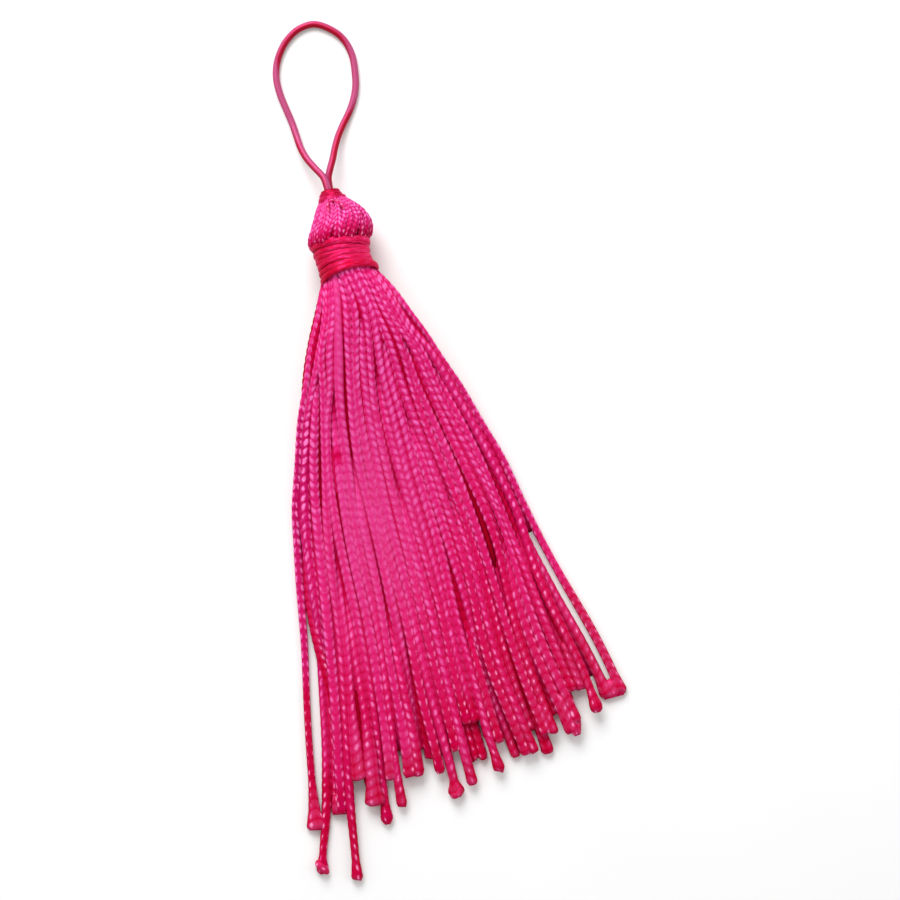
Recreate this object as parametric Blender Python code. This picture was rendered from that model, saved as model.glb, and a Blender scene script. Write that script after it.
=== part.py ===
"""Silk tassel of knitted cord lengths, lying on a flat surface.

+Z is up and +Y runs along the tassel towards its hanging loop. Sizes are in
millimetres and MM turns them into Blender's metres. Lengths along the skirt are
measured down from the neck, so a station at 30 lies at Y = -30 in the layout.
"""

import math

import bpy
import numpy as np
from mathutils import Matrix, Vector

MM = 0.001

# Head, neck and crown, along the tassel's own axis (0 = lower edge of the neck binding)
BALL_RADIUS = 4.9
BALL_CENTRE = 6.6
BALL_GROOVE = 0.16
BALL_FLAT = 0.35
BALL_STEPS = 8
BALL_FOOT_RISE = 0.25
BALL_FOOT_LIP = 0.35
FOLDS = 22
NECK_RADIUS = 3.3
NECK_PITCH_DEG = 8.0
ROOT_PLATE_RADIUS = 4.7
ROOT_PLATE = (-2.3, -0.9)
ROOT_PLATE_EDGE = 0.3
CROWN_SEAT_RADIUS = 1.7
SEAT_GAP = 0.3

BINDING_SPAN = (-0.5, 5.0)
BINDING_WAIST = 3.98
BINDING_FLARE = 0.40
BINDING_TURNS = 7
TURN_DEPTH = 0.18
TURN_SHAPE = ((0.0, 1.0), (0.3, 0.0), (0.7, 0.0))
CROWN_BINDING_HEIGHT = 1.6
CROWN_BINDING_RADII = (1.75, 1.05)
CROWN_BINDING_TURNS = 3
CROWN_TURN_DEPTH = 0.10
ROUND_SEGMENTS = 32
SMOOTH_ANGLE_DEG = 40.0

# Sideways drift of the tassel's axis: height along the axis, offset across it
AXIS_DRIFT = (
    # along, across
    (-2.3, 0.1),
    (0.0, 0.05),
    (2.0, -0.25),
    (4.0, -0.35),
    (6.0, 0.1),
    (7.5, 0.5),
    (9.0, 0.55),
    (11.3, 0.1),
    (13.0, 0.0),
)

# Skirt: strands packed in the neck open out into a fan that settles on the surface
STRAND_SPACING = 1.30
ROOT_SPACING = 0.97
ROOT_CIRCLE = 3.72
ROOT_DEPTH = -1.5
ROOT_WIDTH = 0.60
STRAND_WIDTH = 0.84
FULL_WIDTH_AT = 8.0
FAN_START = 4.5
FAN_SLOPE = 0.217
FAN_SWELL = 4.9
FAN_SWELL_AT = 10.0
SETTLED_AT = 34.0
SORTED_AT = 26.0
BOW_POWER = 1.6
TIP_MARGIN = 2.0
STATIONS = (4.0, 7.5, 11.5, 16.5, 22.5, 30.0, 39.0, 48.0, 57.0, 65.0, 72.0, 79.0, 88.0)

# Settling of the strands, section by section: rounds, share of each overlap mended in
# one round, pull towards the fan, and smoothing along each strand
NUDGE = 0.42
ROOT_ROUNDS = 400
FIRST_ROUNDS = 260
FIRST_PULL = 0.02
SWEEPS = 120
FINAL_SWEEPS = 50
SWEEP_ROUNDS = 10
SWEEP_PULL = 0.03
SMOOTHING = 0.25
BETWEEN = (0.25, 0.5, 0.75)
BETWEEN_SHARE = 0.97
GENTLE_RISE = 1.5

# One row for each lock of strands at the hem. "over" locks leave the upper half of
# the neck and "under" locks the lower half; bow pushes a lock sideways above its end.
LOCKS = (
    # across, down, strands, layer, bow, end
    (-23.7, 76.6, 1, "over", 0.0, "flared"),
    (-24.3, 83.3, 1, "over", 1.5, "knot"),
    (-19.4, 75.2, 2, "over", 0.0, "cut"),
    (-19.3, 85.3, 1, "over", -0.3, "flared"),
    (-15.9, 71.4, 1, "over", 0.0, "knot"),
    (-14.5, 75.5, 1, "over", 0.0, "flared"),
    (-13.2, 78.5, 1, "over", 0.0, "knot"),
    (-11.7, 72.4, 1, "over", 0.0, "cut"),
    (-10.4, 76.7, 1, "over", 0.0, "flared"),
    (-8.2, 72.8, 2, "over", 0.0, "cut"),
    (-6.3, 69.6, 1, "over", 0.0, "cut"),
    (-4.3, 73.1, 1, "over", 0.0, "cut"),
    (-2.7, 77.0, 1, "over", 0.0, "knot"),
    (-1.2, 70.6, 1, "over", 0.0, "cut"),
    (0.2, 75.9, 1, "over", 0.0, "flared"),
    (2.0, 67.2, 2, "over", 0.0, "cut"),
    (4.2, 74.9, 1, "over", 0.0, "flared"),
    (5.6, 70.8, 1, "over", 0.0, "cut"),
    (8.3, 73.5, 3, "over", 0.0, "cut"),
    (10.6, 70.4, 1, "over", 0.0, "cut"),
    (12.9, 71.4, 2, "over", 0.0, "cut"),
    (15.8, 71.9, 2, "over", 0.0, "cut"),
    (18.0, 66.0, 2, "over", 0.0, "cut"),
    (19.8, 69.9, 1, "over", 0.8, "knot"),
    (22.3, 68.1, 1, "over", -1.0, "flared"),
    (24.2, 67.9, 1, "over", -0.6, "flared"),
    (-17.8, 71.0, 2, "under", 0.0, "cut"),
    (-14.6, 69.5, 2, "under", 0.0, "cut"),
    (-11.0, 70.5, 2, "under", 0.0, "cut"),
    (-8.0, 68.8, 2, "under", 0.0, "cut"),
    (-4.6, 71.0, 2, "under", 0.0, "cut"),
    (-1.0, 69.0, 2, "under", 0.0, "cut"),
    (2.0, 72.8, 2, "under", 0.0, "cut"),
    (5.0, 70.0, 2, "under", 0.0, "cut"),
    (8.6, 71.0, 2, "under", 0.0, "cut"),
    (11.6, 74.1, 1, "under", 0.0, "cut"),
    (13.6, 69.0, 2, "under", 0.0, "cut"),
    (16.6, 67.5, 2, "under", 0.0, "cut"),
    (19.4, 65.5, 1, "under", 0.0, "cut"),
)

# Shape of each kind of strand end: distance back from the tip, width there
END_SHAPES = {
    "cut": ((0.0, 0.84),),
    "flared": ((1.6, 0.84), (0.4, 1.15), (0.0, 1.10)),
    "knot": ((2.4, 0.84), (1.6, 1.35), (0.6, 1.35), (0.0, 0.80)),
}

# Hanging loop: a satin cord whose two ends go side by side into the crown
LOOP_DIAMETER = 1.0
LOOP_CLEARANCE = 0.05
LOOP_STEP = 2.4
LOOP_FINENESS = 12
LOOP_LANDS_AT = 24.0
LOOP_ROUTE = (
    # across, along
    (-0.57, 13.35),
    (-0.60, 14.9),
    (-1.3, 16.6),
    (-2.1, 18.2),
    (-2.6, 19.9),
    (-2.8, 21.8),
    (-3.0, 23.9),
    (-3.35, 26.0),
    (-3.7, 28.2),
    (-3.75, 30.4),
    (-3.3, 32.4),
    (-2.35, 34.2),
    (-0.9, 35.8),
    (1.1, 36.95),
    (3.6, 37.1),
    (6.0, 35.5),
    (7.3, 33.6),
    (7.8, 31.3),
    (7.65, 29.1),
    (7.25, 27.0),
    (6.45, 25.1),
    (5.35, 23.4),
    (4.15, 21.9),
    (3.1, 20.4),
    (2.25, 18.8),
    (1.55, 17.2),
    (0.95, 15.9),
    (0.60, 14.7),
    (0.57, 13.35),
)

NECK_HEIGHT = BALL_RADIUS - BALL_FLAT + BALL_CENTRE * math.sin(math.radians(NECK_PITCH_DEG))
HEAD_PLACE = Matrix.Translation((0.0, 0.0, NECK_HEIGHT)) @ Matrix.Rotation(
    -math.radians(NECK_PITCH_DEG), 4, "X"
)


def clear_scene():
    """Remove every object, so that the file holds the tassel alone."""
    for obj in list(bpy.data.objects):
        bpy.data.objects.remove(obj, do_unlink=True)


def silk_material(name, colour, roughness):
    """Principled material of one dyed silk or satin yarn."""
    material = bpy.data.materials.new(name)
    material.use_nodes = True
    shader = material.node_tree.nodes["Principled BSDF"]
    shader.inputs["Base Color"].default_value = (*colour, 1.0)
    shader.inputs["Roughness"].default_value = roughness
    shader.inputs["Metallic"].default_value = 0.0
    material.diffuse_color = (*colour, 1.0)
    return material


def mesh_object(name, points, faces, material, parent):
    """Object from points in millimetres and their faces."""
    mesh = bpy.data.meshes.new(name)
    mesh.from_pydata([tuple(c * MM for c in point) for point in points], [], faces)
    mesh.materials.append(material)
    mesh.validate()
    obj = bpy.data.objects.new(name, mesh)
    obj.parent = parent
    bpy.context.collection.objects.link(obj)
    return obj


def axis_drift(along):
    """Sideways offset of the tassel's axis at a height along it."""
    heights, offsets = zip(*AXIS_DRIFT)
    return float(np.interp(along, heights, offsets))


def on_axis(across, along, out):
    """Layout point of a point given about the pitched axis of head and neck."""
    return HEAD_PLACE @ Vector((axis_drift(along) + across, along, out))


def turned_points(profile, segments):
    """Rings of points about the head's axis; rows hold height, radius and groove depth."""
    points = []
    for along, radius, groove in profile:
        for index in range(segments):
            angle = 2.0 * math.pi * index / segments
            reach = radius - groove * (index % 2)
            point = on_axis(reach * math.cos(angle), along, reach * math.sin(angle))
            points.append((point.x, point.y, max(point.z, 0.0)))
    return points


def ring_faces(rings, segments, closed):
    """Quads between neighbouring rings; an open stack gets a cap at each end."""
    faces = []
    for ring in range(rings if closed else rings - 1):
        upper = (ring + 1) % rings
        for index in range(segments):
            beside = (index + 1) % segments
            faces.append(
                (
                    ring * segments + index,
                    upper * segments + index,
                    upper * segments + beside,
                    ring * segments + beside,
                )
            )
    if not closed:
        faces.append(tuple(range(segments)))
        faces.append(tuple(reversed(range((rings - 1) * segments, rings * segments))))
    return faces


def smooth(amount):
    """Ease from 0 to 1 with level ends."""
    amount = min(max(amount, 0.0), 1.0)
    return amount * amount * (3.0 - 2.0 * amount)


def head_profile():
    """Root plate, neck core and ball, from the strands' roots to the crown."""
    ball_foot = BINDING_SPAN[1] + SEAT_GAP
    foot_angle = math.asin((ball_foot + BALL_FOOT_RISE - BALL_CENTRE) / BALL_RADIUS)
    top_angle = math.acos(CROWN_SEAT_RADIUS / BALL_RADIUS)
    profile = [
        (ROOT_PLATE[0], ROOT_PLATE_RADIUS - ROOT_PLATE_EDGE, 0.0),
        (ROOT_PLATE[0] + ROOT_PLATE_EDGE, ROOT_PLATE_RADIUS, 0.0),
        (ROOT_PLATE[1], ROOT_PLATE_RADIUS - ROOT_PLATE_EDGE, 0.0),
        (ROOT_PLATE[1], NECK_RADIUS, 0.0),
        (ball_foot, NECK_RADIUS, 0.0),
        (ball_foot, BALL_RADIUS * math.cos(foot_angle) - BALL_FOOT_LIP, 0.0),
    ]
    for step in range(BALL_STEPS + 1):
        angle = foot_angle + (top_angle - foot_angle) * step / BALL_STEPS
        groove = BALL_GROOVE * (0.5 + 0.5 * math.cos(angle))
        profile.append(
            (
                BALL_CENTRE + BALL_RADIUS * math.sin(angle),
                BALL_RADIUS * math.cos(angle),
                groove,
            )
        )
    return profile


def wound_profile(span, radii, waist, turns, depth):
    """Outer outline of a wound binding: a shallow valley before and after each turn."""
    profile = []
    pitch = (span[1] - span[0]) / turns
    for turn in range(turns):
        for part, dip in TURN_SHAPE:
            share = (turn + part) / turns
            ease = (2.0 * share - 1.0) ** 2
            radius = radii[0] + (radii[1] - radii[0]) * share + waist * ease - depth * dip
            profile.append((span[0] + pitch * (turn + part), radius, 0.0))
    profile.append((span[1], radii[1] + waist - depth, 0.0))
    return profile


def build_neck_binding(material, parent):
    """Open sleeve of wound turns round the neck, a little waisted."""
    profile = wound_profile(
        BINDING_SPAN, (BINDING_WAIST, BINDING_WAIST), BINDING_FLARE, BINDING_TURNS, TURN_DEPTH
    )
    bore = NECK_RADIUS + SEAT_GAP
    profile += [(BINDING_SPAN[1], bore, 0.0), (BINDING_SPAN[0], bore, 0.0)]
    points = turned_points(profile, ROUND_SEGMENTS)
    faces = ring_faces(len(profile), ROUND_SEGMENTS, closed=True)
    return mesh_object("neck_binding", points, faces, material, parent)


def crown_binding_span():
    """Foot and top of the crown binding, seated on the ball."""
    foot = BALL_CENTRE + math.sqrt(BALL_RADIUS**2 - CROWN_SEAT_RADIUS**2) + SEAT_GAP
    return foot, foot + CROWN_BINDING_HEIGHT


def build_crown_binding(material, parent):
    """Small tapered collar of wound turns that closes the top of the head."""
    profile = wound_profile(
        crown_binding_span(), CROWN_BINDING_RADII, 0.0, CROWN_BINDING_TURNS, CROWN_TURN_DEPTH
    )
    points = turned_points(profile, ROUND_SEGMENTS)
    faces = ring_faces(len(profile), ROUND_SEGMENTS, closed=False)
    return mesh_object("crown_binding", points, faces, material, parent)


def fan_half_width(down):
    """Half width of the skirt, centre to the outermost strand's centre."""
    swell = FAN_SWELL * down**2 / (down**2 + FAN_SWELL_AT**2)
    return FAN_START + FAN_SLOPE * down + swell - STRAND_SPACING / 2.0


def hem_strands():
    """Every strand with its fan share, length, layer, bow and end, sorted across the hem."""
    strands = []
    for across, down, count, layer, bow, end in LOCKS:
        for index in range(count):
            place = across + (index - (count - 1) / 2.0) * STRAND_SPACING
            share = place / fan_half_width(down)
            strands.append({"share": share, "down": down, "layer": layer, "bow": bow, "end": end})
    return sorted(strands, key=lambda strand: strand["share"])


def nudges(across, height, spacing):
    """Small moves that take overlapping circles of one cross-section apart."""
    gap_x = across[:, None] - across[None, :]
    gap_z = height[:, None] - height[None, :]
    distance = np.hypot(gap_x, gap_z) + 1e-9
    share = np.clip(spacing - distance, 0.0, None) / distance * NUDGE
    np.fill_diagonal(share, 0.0)
    return (share * gap_x).sum(axis=1), (share * gap_z).sum(axis=1)


def push_apart(across, height, spacing, floor, rounds, goal=None, pull=0.0):
    """Settle circles of one cross-section: apart, off the floor, drawn weakly to a goal."""
    for _ in range(rounds):
        if goal is not None:
            across += pull * (goal[0] - across)
            height += pull * (goal[1] - height)
        move_x, move_z = nudges(across, height, spacing)
        across += move_x
        height += move_z
        np.maximum(height, floor, out=height)
    return across, height


def part_between(upper, lower, here, spacing):
    """Keep strands apart on their straight way from one station to the next."""
    for share in BETWEEN:
        across = (1.0 - share) * upper[0][here] + share * lower[0][here]
        height = (1.0 - share) * upper[1][here] + share * lower[1][here]
        for axis, move in enumerate(nudges(across, height, spacing)):
            upper[axis][here] += (1.0 - share) * move
            lower[axis][here] += share * move


def root_slots(count):
    """Even packing of the strands' roots inside the neck's circle."""
    order = np.arange(count) + 0.5
    radius = ROOT_CIRCLE * np.sqrt(order / count)
    angle = order * math.pi * (3.0 - math.sqrt(5.0))
    across = radius * np.cos(angle)
    out = radius * np.sin(angle)
    for _ in range(ROOT_ROUNDS):
        across, out = push_apart(across, out, ROOT_SPACING, -ROOT_CIRCLE, 1)
        reach = np.hypot(across, out)
        hold = np.minimum(1.0, ROOT_CIRCLE / np.maximum(reach, 1e-9))
        across *= hold
        out *= hold
    return across, out


def assign_roots(strands):
    """Give each strand a root: upper slots to the over layer, in order across the neck."""
    across, out = root_slots(len(strands))
    over_count = sum(strand["layer"] == "over" for strand in strands)
    by_height = np.argsort(-out, kind="stable")
    slots = {"over": by_height[:over_count], "under": by_height[over_count:]}
    for layer, chosen in slots.items():
        ordered = iter(sorted(chosen, key=lambda slot: across[slot]))
        for strand in strands:
            if strand["layer"] == layer:
                slot = next(ordered)
                strand["root"] = (float(across[slot]), float(out[slot]))


def spacing_at(down):
    """Spacing of strand centres, tight at the neck and full further down."""
    return ROOT_SPACING + (STRAND_SPACING - ROOT_SPACING) * smooth(down / FULL_WIDTH_AT)


def width_at(down):
    """Side of a strand's square section."""
    return ROOT_WIDTH + (STRAND_WIDTH - ROOT_WIDTH) * smooth(down / FULL_WIDTH_AT)


def skirt_layout():
    """Rest positions of all strands: arrays of across and height, station by station."""
    strands = hem_strands()
    assign_roots(strands)
    share = np.array([strand["share"] for strand in strands])
    length = np.array([strand["down"] for strand in strands])
    bow = np.array([strand["bow"] for strand in strands])
    root_x = np.array([strand["root"][0] for strand in strands])
    root_z = np.array([strand["root"][1] for strand in strands]) + NECK_HEIGHT
    levels = len(STATIONS)
    across = np.zeros((levels, len(strands)))
    height = np.zeros((levels, len(strands)))
    present = np.zeros((levels, len(strands)), dtype=bool)
    goals = []
    for level, down in enumerate(STATIONS):
        above = STATIONS[level - 1] if level else 0.0
        present[level] = length > above
        sorting = smooth(down / SORTED_AT)
        mixed = root_x / ROOT_CIRCLE * (1.0 - sorting) + share * sorting
        travel = np.clip(down / length, 0.0, 1.0) ** BOW_POWER
        goal_x = mixed * fan_half_width(down) + bow * np.sin(math.pi * travel)
        floor = width_at(down) / 2.0
        goal_z = floor + (root_z - floor) * (1.0 - smooth(down / SETTLED_AT))
        goals.append((goal_x, goal_z, floor))
        before_z = height[level - 1] if level else root_z
        here = present[level]
        across[level], height[level] = goal_x, np.minimum(before_z, goal_z + GENTLE_RISE)
        across[level, here], height[level, here] = push_apart(
            across[level, here].copy(),
            height[level, here].copy(),
            spacing_at(down),
            floor,
            FIRST_ROUNDS,
            (goal_x[here], goal_z[here]),
            FIRST_PULL,
        )
    for sweep in range(SWEEPS):
        settling = sweep < SWEEPS - FINAL_SWEEPS
        for level, down in enumerate(STATIONS):
            here = present[level]
            goal_x, goal_z, floor = goals[level]
            goal = (goal_x[here], goal_z[here]) if settling else None
            if settling:
                before_x = across[level - 1] if level else root_x
                before_z = height[level - 1] if level else root_z
                after = min(level + 1, levels - 1)
                goes_on = here & present[after]
                across[level, goes_on] += SMOOTHING * (
                    0.5 * (before_x + across[after]) - across[level]
                )[goes_on]
                height[level, goes_on] += SMOOTHING * (
                    0.5 * (before_z + height[after]) - height[level]
                )[goes_on]
            across[level, here], height[level, here] = push_apart(
                across[level, here],
                height[level, here],
                spacing_at(down),
                floor,
                SWEEP_ROUNDS,
                goal,
                SWEEP_PULL,
            )
            if level:
                above = (across[level - 1], height[level - 1])
                below = (across[level], height[level])
                spacing = spacing_at(STATIONS[level - 1]) * BETWEEN_SHARE
                part_between(above, below, here, spacing)
                floor_above = width_at(STATIONS[level - 1]) / 2.0
                np.maximum(height[level - 1], floor_above, out=height[level - 1])
                np.maximum(height[level], floor, out=height[level])
    return strands, across, height


def strand_route(index, strands, across, height):
    """Centre points of one strand, from its root in the neck to its tip."""
    strand = strands[index]
    root = on_axis(strand["root"][0], ROOT_DEPTH, strand["root"][1])
    tip = strand["down"]
    shape = END_SHAPES[strand["end"]]
    downs = [down for down in STATIONS if down < tip - shape[0][0] - TIP_MARGIN]
    rows = [(down, width_at(down)) for down in downs]
    rows += [(tip - back, width) for back, width in shape]
    route = [(root.x, root.y, root.z, ROOT_WIDTH)]
    for down, width in rows:
        centre_x = float(np.interp(down, STATIONS, across[:, index]))
        centre_z = float(np.interp(down, STATIONS, height[:, index]))
        route.append((centre_x, -down, max(centre_z, width / 2.0), width))
    return route


def build_strands(material, parent):
    """All strands as square tubes, each a closed solid with its root in the neck."""
    strands, across, height = skirt_layout()
    points = []
    faces = []
    for index in range(len(strands)):
        route = strand_route(index, strands, across, height)
        start = len(points)
        for x, y, z, width in route:
            half = width / 2.0
            for side_x, side_z in ((-1, -1), (1, -1), (1, 1), (-1, 1)):
                points.append((x + side_x * half, y, z + side_z * half))
        for face in ring_faces(len(route), 4, closed=False):
            faces.append(tuple(start + corner for corner in reversed(face)))
    strand_object = mesh_object("strands", points, faces, material, parent)
    strand_object.hide_render = True
    strand_object.display_type = "WIRE"
    return strand_object


def build_head_and_skirt(material, parent):
    """Ball of folded strands with its neck, joined to the roots of the skirt's strands."""
    profile = head_profile()
    segments = 2 * FOLDS
    points = turned_points(profile, segments)
    faces = ring_faces(len(profile), segments, closed=False)
    head = mesh_object("head_and_skirt", points, faces, material, parent)
    union = head.modifiers.new("roots", "BOOLEAN")
    union.operation = "UNION"
    union.solver = "EXACT"
    union.object = build_strands(material, parent)
    return head


def smooth_route(points, step):
    """Points every step along a Catmull-Rom curve through the given ones."""
    route = [Vector(point) for point in points]
    route = [2.0 * route[0] - route[1], *route, 2.0 * route[-1] - route[-2]]
    fine = []
    for index in range(1, len(route) - 2):
        before, start, end, after = route[index - 1 : index + 3]
        for part in range(LOOP_FINENESS):
            t = part / LOOP_FINENESS
            fine.append(
                0.5
                * (
                    2.0 * start
                    + (end - before) * t
                    + (2.0 * before - 5.0 * start + 4.0 * end - after) * t**2
                    + (3.0 * start - before - 3.0 * end + after) * t**3
                )
            )
    fine.append(route[-2])
    lengths = [0.0]
    for start, end in zip(fine, fine[1:]):
        lengths.append(lengths[-1] + (end - start).length)
    count = round(lengths[-1] / step)
    even = np.linspace(0.0, lengths[-1], count + 1)
    return [
        tuple(float(np.interp(place, lengths, [point[axis] for point in fine])) for axis in range(3))
        for place in even
    ]


def loop_points():
    """The loop's route, coming down from the crown to the surface."""
    crown_top = crown_binding_span()[1]
    crown = on_axis(0.0, crown_top + SEAT_GAP, 0.0)
    rest = LOOP_DIAMETER / 2.0 + LOOP_CLEARANCE
    points = []
    for across, along in LOOP_ROUTE:
        fall = smooth((along - LOOP_ROUTE[0][1]) / (LOOP_LANDS_AT - LOOP_ROUTE[0][1]))
        points.append((across, along + crown.y - LOOP_ROUTE[0][1], crown.z + (rest - crown.z) * fall))
    return points


def build_hanging_loop(material, parent):
    """Satin cord bent into a teardrop, both ends at the crown binding."""
    curve = bpy.data.curves.new("hanging_loop", "CURVE")
    curve.dimensions = "3D"
    curve.bevel_depth = LOOP_DIAMETER / 2.0 * MM
    curve.bevel_resolution = 2
    curve.use_fill_caps = True
    route = smooth_route(loop_points(), LOOP_STEP)
    spline = curve.splines.new("POLY")
    spline.points.add(len(route) - 1)
    for point, place in zip(spline.points, route):
        point.co = (*(c * MM for c in place), 1.0)
    curve.materials.append(material)
    loop = bpy.data.objects.new("hanging_loop", curve)
    loop.parent = parent
    bpy.context.collection.objects.link(loop)
    return loop


def shade_round(obj):
    """Smooth shading with sharp edges kept at folds and caps."""
    obj.data.shade_smooth()
    obj.data.set_sharp_from_angle(angle=math.radians(SMOOTH_ANGLE_DEG))


def centre_on_origin(base, solids):
    """Move the tassel so that its own solids are centred over the origin."""
    bpy.context.view_layer.update()
    corners = []
    for solid in solids:
        corners += [solid.matrix_world @ vertex.co for vertex in solid.data.vertices]
    low = [min(corner[axis] for corner in corners) for axis in range(3)]
    high = [max(corner[axis] for corner in corners) for axis in range(3)]
    base.location = (-(low[0] + high[0]) / 2.0, -(low[1] + high[1]) / 2.0, -low[2])


def main():
    clear_scene()
    base = bpy.data.objects.new("tassel", None)
    bpy.context.collection.objects.link(base)
    knit = silk_material("knitted_silk", (0.70, 0.03, 0.18), 0.45)
    thread = silk_material("binding_thread", (0.70, 0.02, 0.11), 0.35)
    satin = silk_material("satin_cord", (0.56, 0.10, 0.20), 0.30)
    head = build_head_and_skirt(knit, base)
    neck = build_neck_binding(thread, base)
    crown = build_crown_binding(thread, base)
    build_hanging_loop(satin, base)
    for solid in (head, neck, crown):
        shade_round(solid)
    centre_on_origin(base, (head, head.modifiers["roots"].object, neck, crown))


main()
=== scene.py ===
import math
from collections import namedtuple

import bpy
import numpy as np
from bpy.props import FloatProperty, FloatVectorProperty, IntProperty, PointerProperty
from bpy.types import Operator, Panel, PropertyGroup
from mathutils import Matrix, Vector


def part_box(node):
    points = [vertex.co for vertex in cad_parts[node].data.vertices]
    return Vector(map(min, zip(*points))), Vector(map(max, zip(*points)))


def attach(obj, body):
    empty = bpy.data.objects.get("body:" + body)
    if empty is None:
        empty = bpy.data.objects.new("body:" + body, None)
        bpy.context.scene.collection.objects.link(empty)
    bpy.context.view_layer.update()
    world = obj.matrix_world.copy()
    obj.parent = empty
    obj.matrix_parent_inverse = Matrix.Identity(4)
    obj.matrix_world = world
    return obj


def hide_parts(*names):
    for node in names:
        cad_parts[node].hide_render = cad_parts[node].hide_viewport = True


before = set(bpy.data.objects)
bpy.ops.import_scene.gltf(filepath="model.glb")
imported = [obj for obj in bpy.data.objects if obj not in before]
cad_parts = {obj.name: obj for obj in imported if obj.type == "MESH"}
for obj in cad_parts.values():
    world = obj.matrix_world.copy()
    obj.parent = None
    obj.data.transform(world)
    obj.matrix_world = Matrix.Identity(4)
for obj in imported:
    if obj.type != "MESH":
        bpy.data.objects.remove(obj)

bl_info = {
    "name": "Silk tassel",
    "version": (1, 0, 0),
    "blender": (4, 5, 0),
    "location": "3D View > Sidebar > Tassel",
    "description": "Dresses a tassel of knitted silk cords on its solid model",
    "category": "Object",
}

MM = 0.001

# ---------------------------------------------------------------------------
# The tassel's layout in millimetres: the same sizes and rules as its solids
# ---------------------------------------------------------------------------

BALL_RADIUS = 4.9
BALL_CENTRE = 6.6
BALL_FLAT = 0.35
NECK_PITCH_DEG = 8.0
CROWN_SEAT_RADIUS = 1.7
SEAT_GAP = 0.3
BINDING_WAIST = 3.98
BINDING_FLARE = 0.40
CROWN_BINDING_HEIGHT = 1.6

# Sideways drift of the tassel's axis: height along the axis, offset across it
AXIS_DRIFT = (
    # along, across
    (-2.3, 0.1), (0.0, 0.05), (2.0, -0.25), (4.0, -0.35), (6.0, 0.1), (7.5, 0.5),
    (9.0, 0.55), (11.3, 0.1), (13.0, 0.0),
)

STRAND_SPACING = 1.30
ROOT_SPACING = 0.97
ROOT_CIRCLE = 3.72
ROOT_DEPTH = -1.5
ROOT_WIDTH = 0.60
STRAND_WIDTH = 0.84
FULL_WIDTH_AT = 8.0
FAN_START = 4.5
FAN_SLOPE = 0.217
FAN_SWELL = 4.9
FAN_SWELL_AT = 10.0
SETTLED_AT = 34.0
SORTED_AT = 26.0
BOW_POWER = 1.6
STATIONS = (4.0, 7.5, 11.5, 16.5, 22.5, 30.0, 39.0, 48.0, 57.0, 65.0, 72.0, 79.0, 88.0)

# Settling of the strands, section by section
NUDGE = 0.42
ROOT_ROUNDS = 400
FIRST_ROUNDS = 260
FIRST_PULL = 0.02
SWEEPS = 120
FINAL_SWEEPS = 50
SWEEP_ROUNDS = 10
SWEEP_PULL = 0.03
SMOOTHING = 0.25
BETWEEN = (0.25, 0.5, 0.75)
BETWEEN_SHARE = 0.97
GENTLE_RISE = 1.5

# One row for each lock of strands at the hem
LOCKS = (
    # across, down, strands, layer, bow, end
    (-23.7, 76.6, 1, "over", 0.0, "flared"),
    (-24.3, 83.3, 1, "over", 1.5, "knot"),
    (-19.4, 75.2, 2, "over", 0.0, "cut"),
    (-19.3, 85.3, 1, "over", -0.3, "flared"),
    (-15.9, 71.4, 1, "over", 0.0, "cut"),
    (-14.5, 75.5, 1, "over", 0.0, "flared"),
    (-13.2, 78.5, 1, "over", 0.0, "swollen"),
    (-11.7, 72.4, 1, "over", 0.0, "cut"),
    (-10.4, 76.7, 1, "over", 0.0, "cut"),
    (-8.2, 72.8, 2, "over", 0.0, "cut"),
    (-6.3, 69.6, 1, "over", 0.0, "cut"),
    (-4.3, 73.1, 1, "over", 0.0, "cut"),
    (-2.7, 77.0, 1, "over", 0.0, "knot"),
    (-1.2, 70.6, 1, "over", 0.0, "cut"),
    (0.2, 75.9, 1, "over", 0.0, "cut"),
    (2.0, 67.2, 2, "over", 0.0, "cut"),
    (4.2, 74.9, 1, "over", 0.0, "swollen"),
    (5.6, 70.8, 1, "over", 0.0, "cut"),
    (8.3, 73.5, 3, "over", 0.0, "cut"),
    (10.6, 70.4, 1, "over", 0.0, "cut"),
    (12.9, 71.4, 2, "over", 0.0, "cut"),
    (15.8, 71.9, 2, "over", 0.0, "cut"),
    (18.0, 66.0, 2, "over", 0.0, "cut"),
    (19.8, 69.9, 1, "over", 0.8, "swollen"),
    (22.3, 68.1, 1, "over", -1.0, "flared"),
    (24.2, 67.9, 1, "over", -0.6, "flared"),
    (-17.8, 71.0, 2, "under", 0.0, "cut"),
    (-14.6, 69.5, 2, "under", 0.0, "cut"),
    (-11.0, 70.5, 2, "under", 0.0, "cut"),
    (-8.0, 68.8, 2, "under", 0.0, "cut"),
    (-4.6, 71.0, 2, "under", 0.0, "cut"),
    (-1.0, 69.0, 2, "under", 0.0, "cut"),
    (2.0, 72.8, 2, "under", 0.0, "cut"),
    (5.0, 70.0, 2, "under", 0.0, "cut"),
    (8.6, 71.0, 2, "under", 0.0, "cut"),
    (11.6, 74.1, 1, "under", 0.0, "cut"),
    (13.6, 69.0, 2, "under", 0.0, "cut"),
    (16.6, 67.5, 2, "under", 0.0, "cut"),
    (19.4, 65.5, 1, "under", 0.0, "cut"),
)

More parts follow.
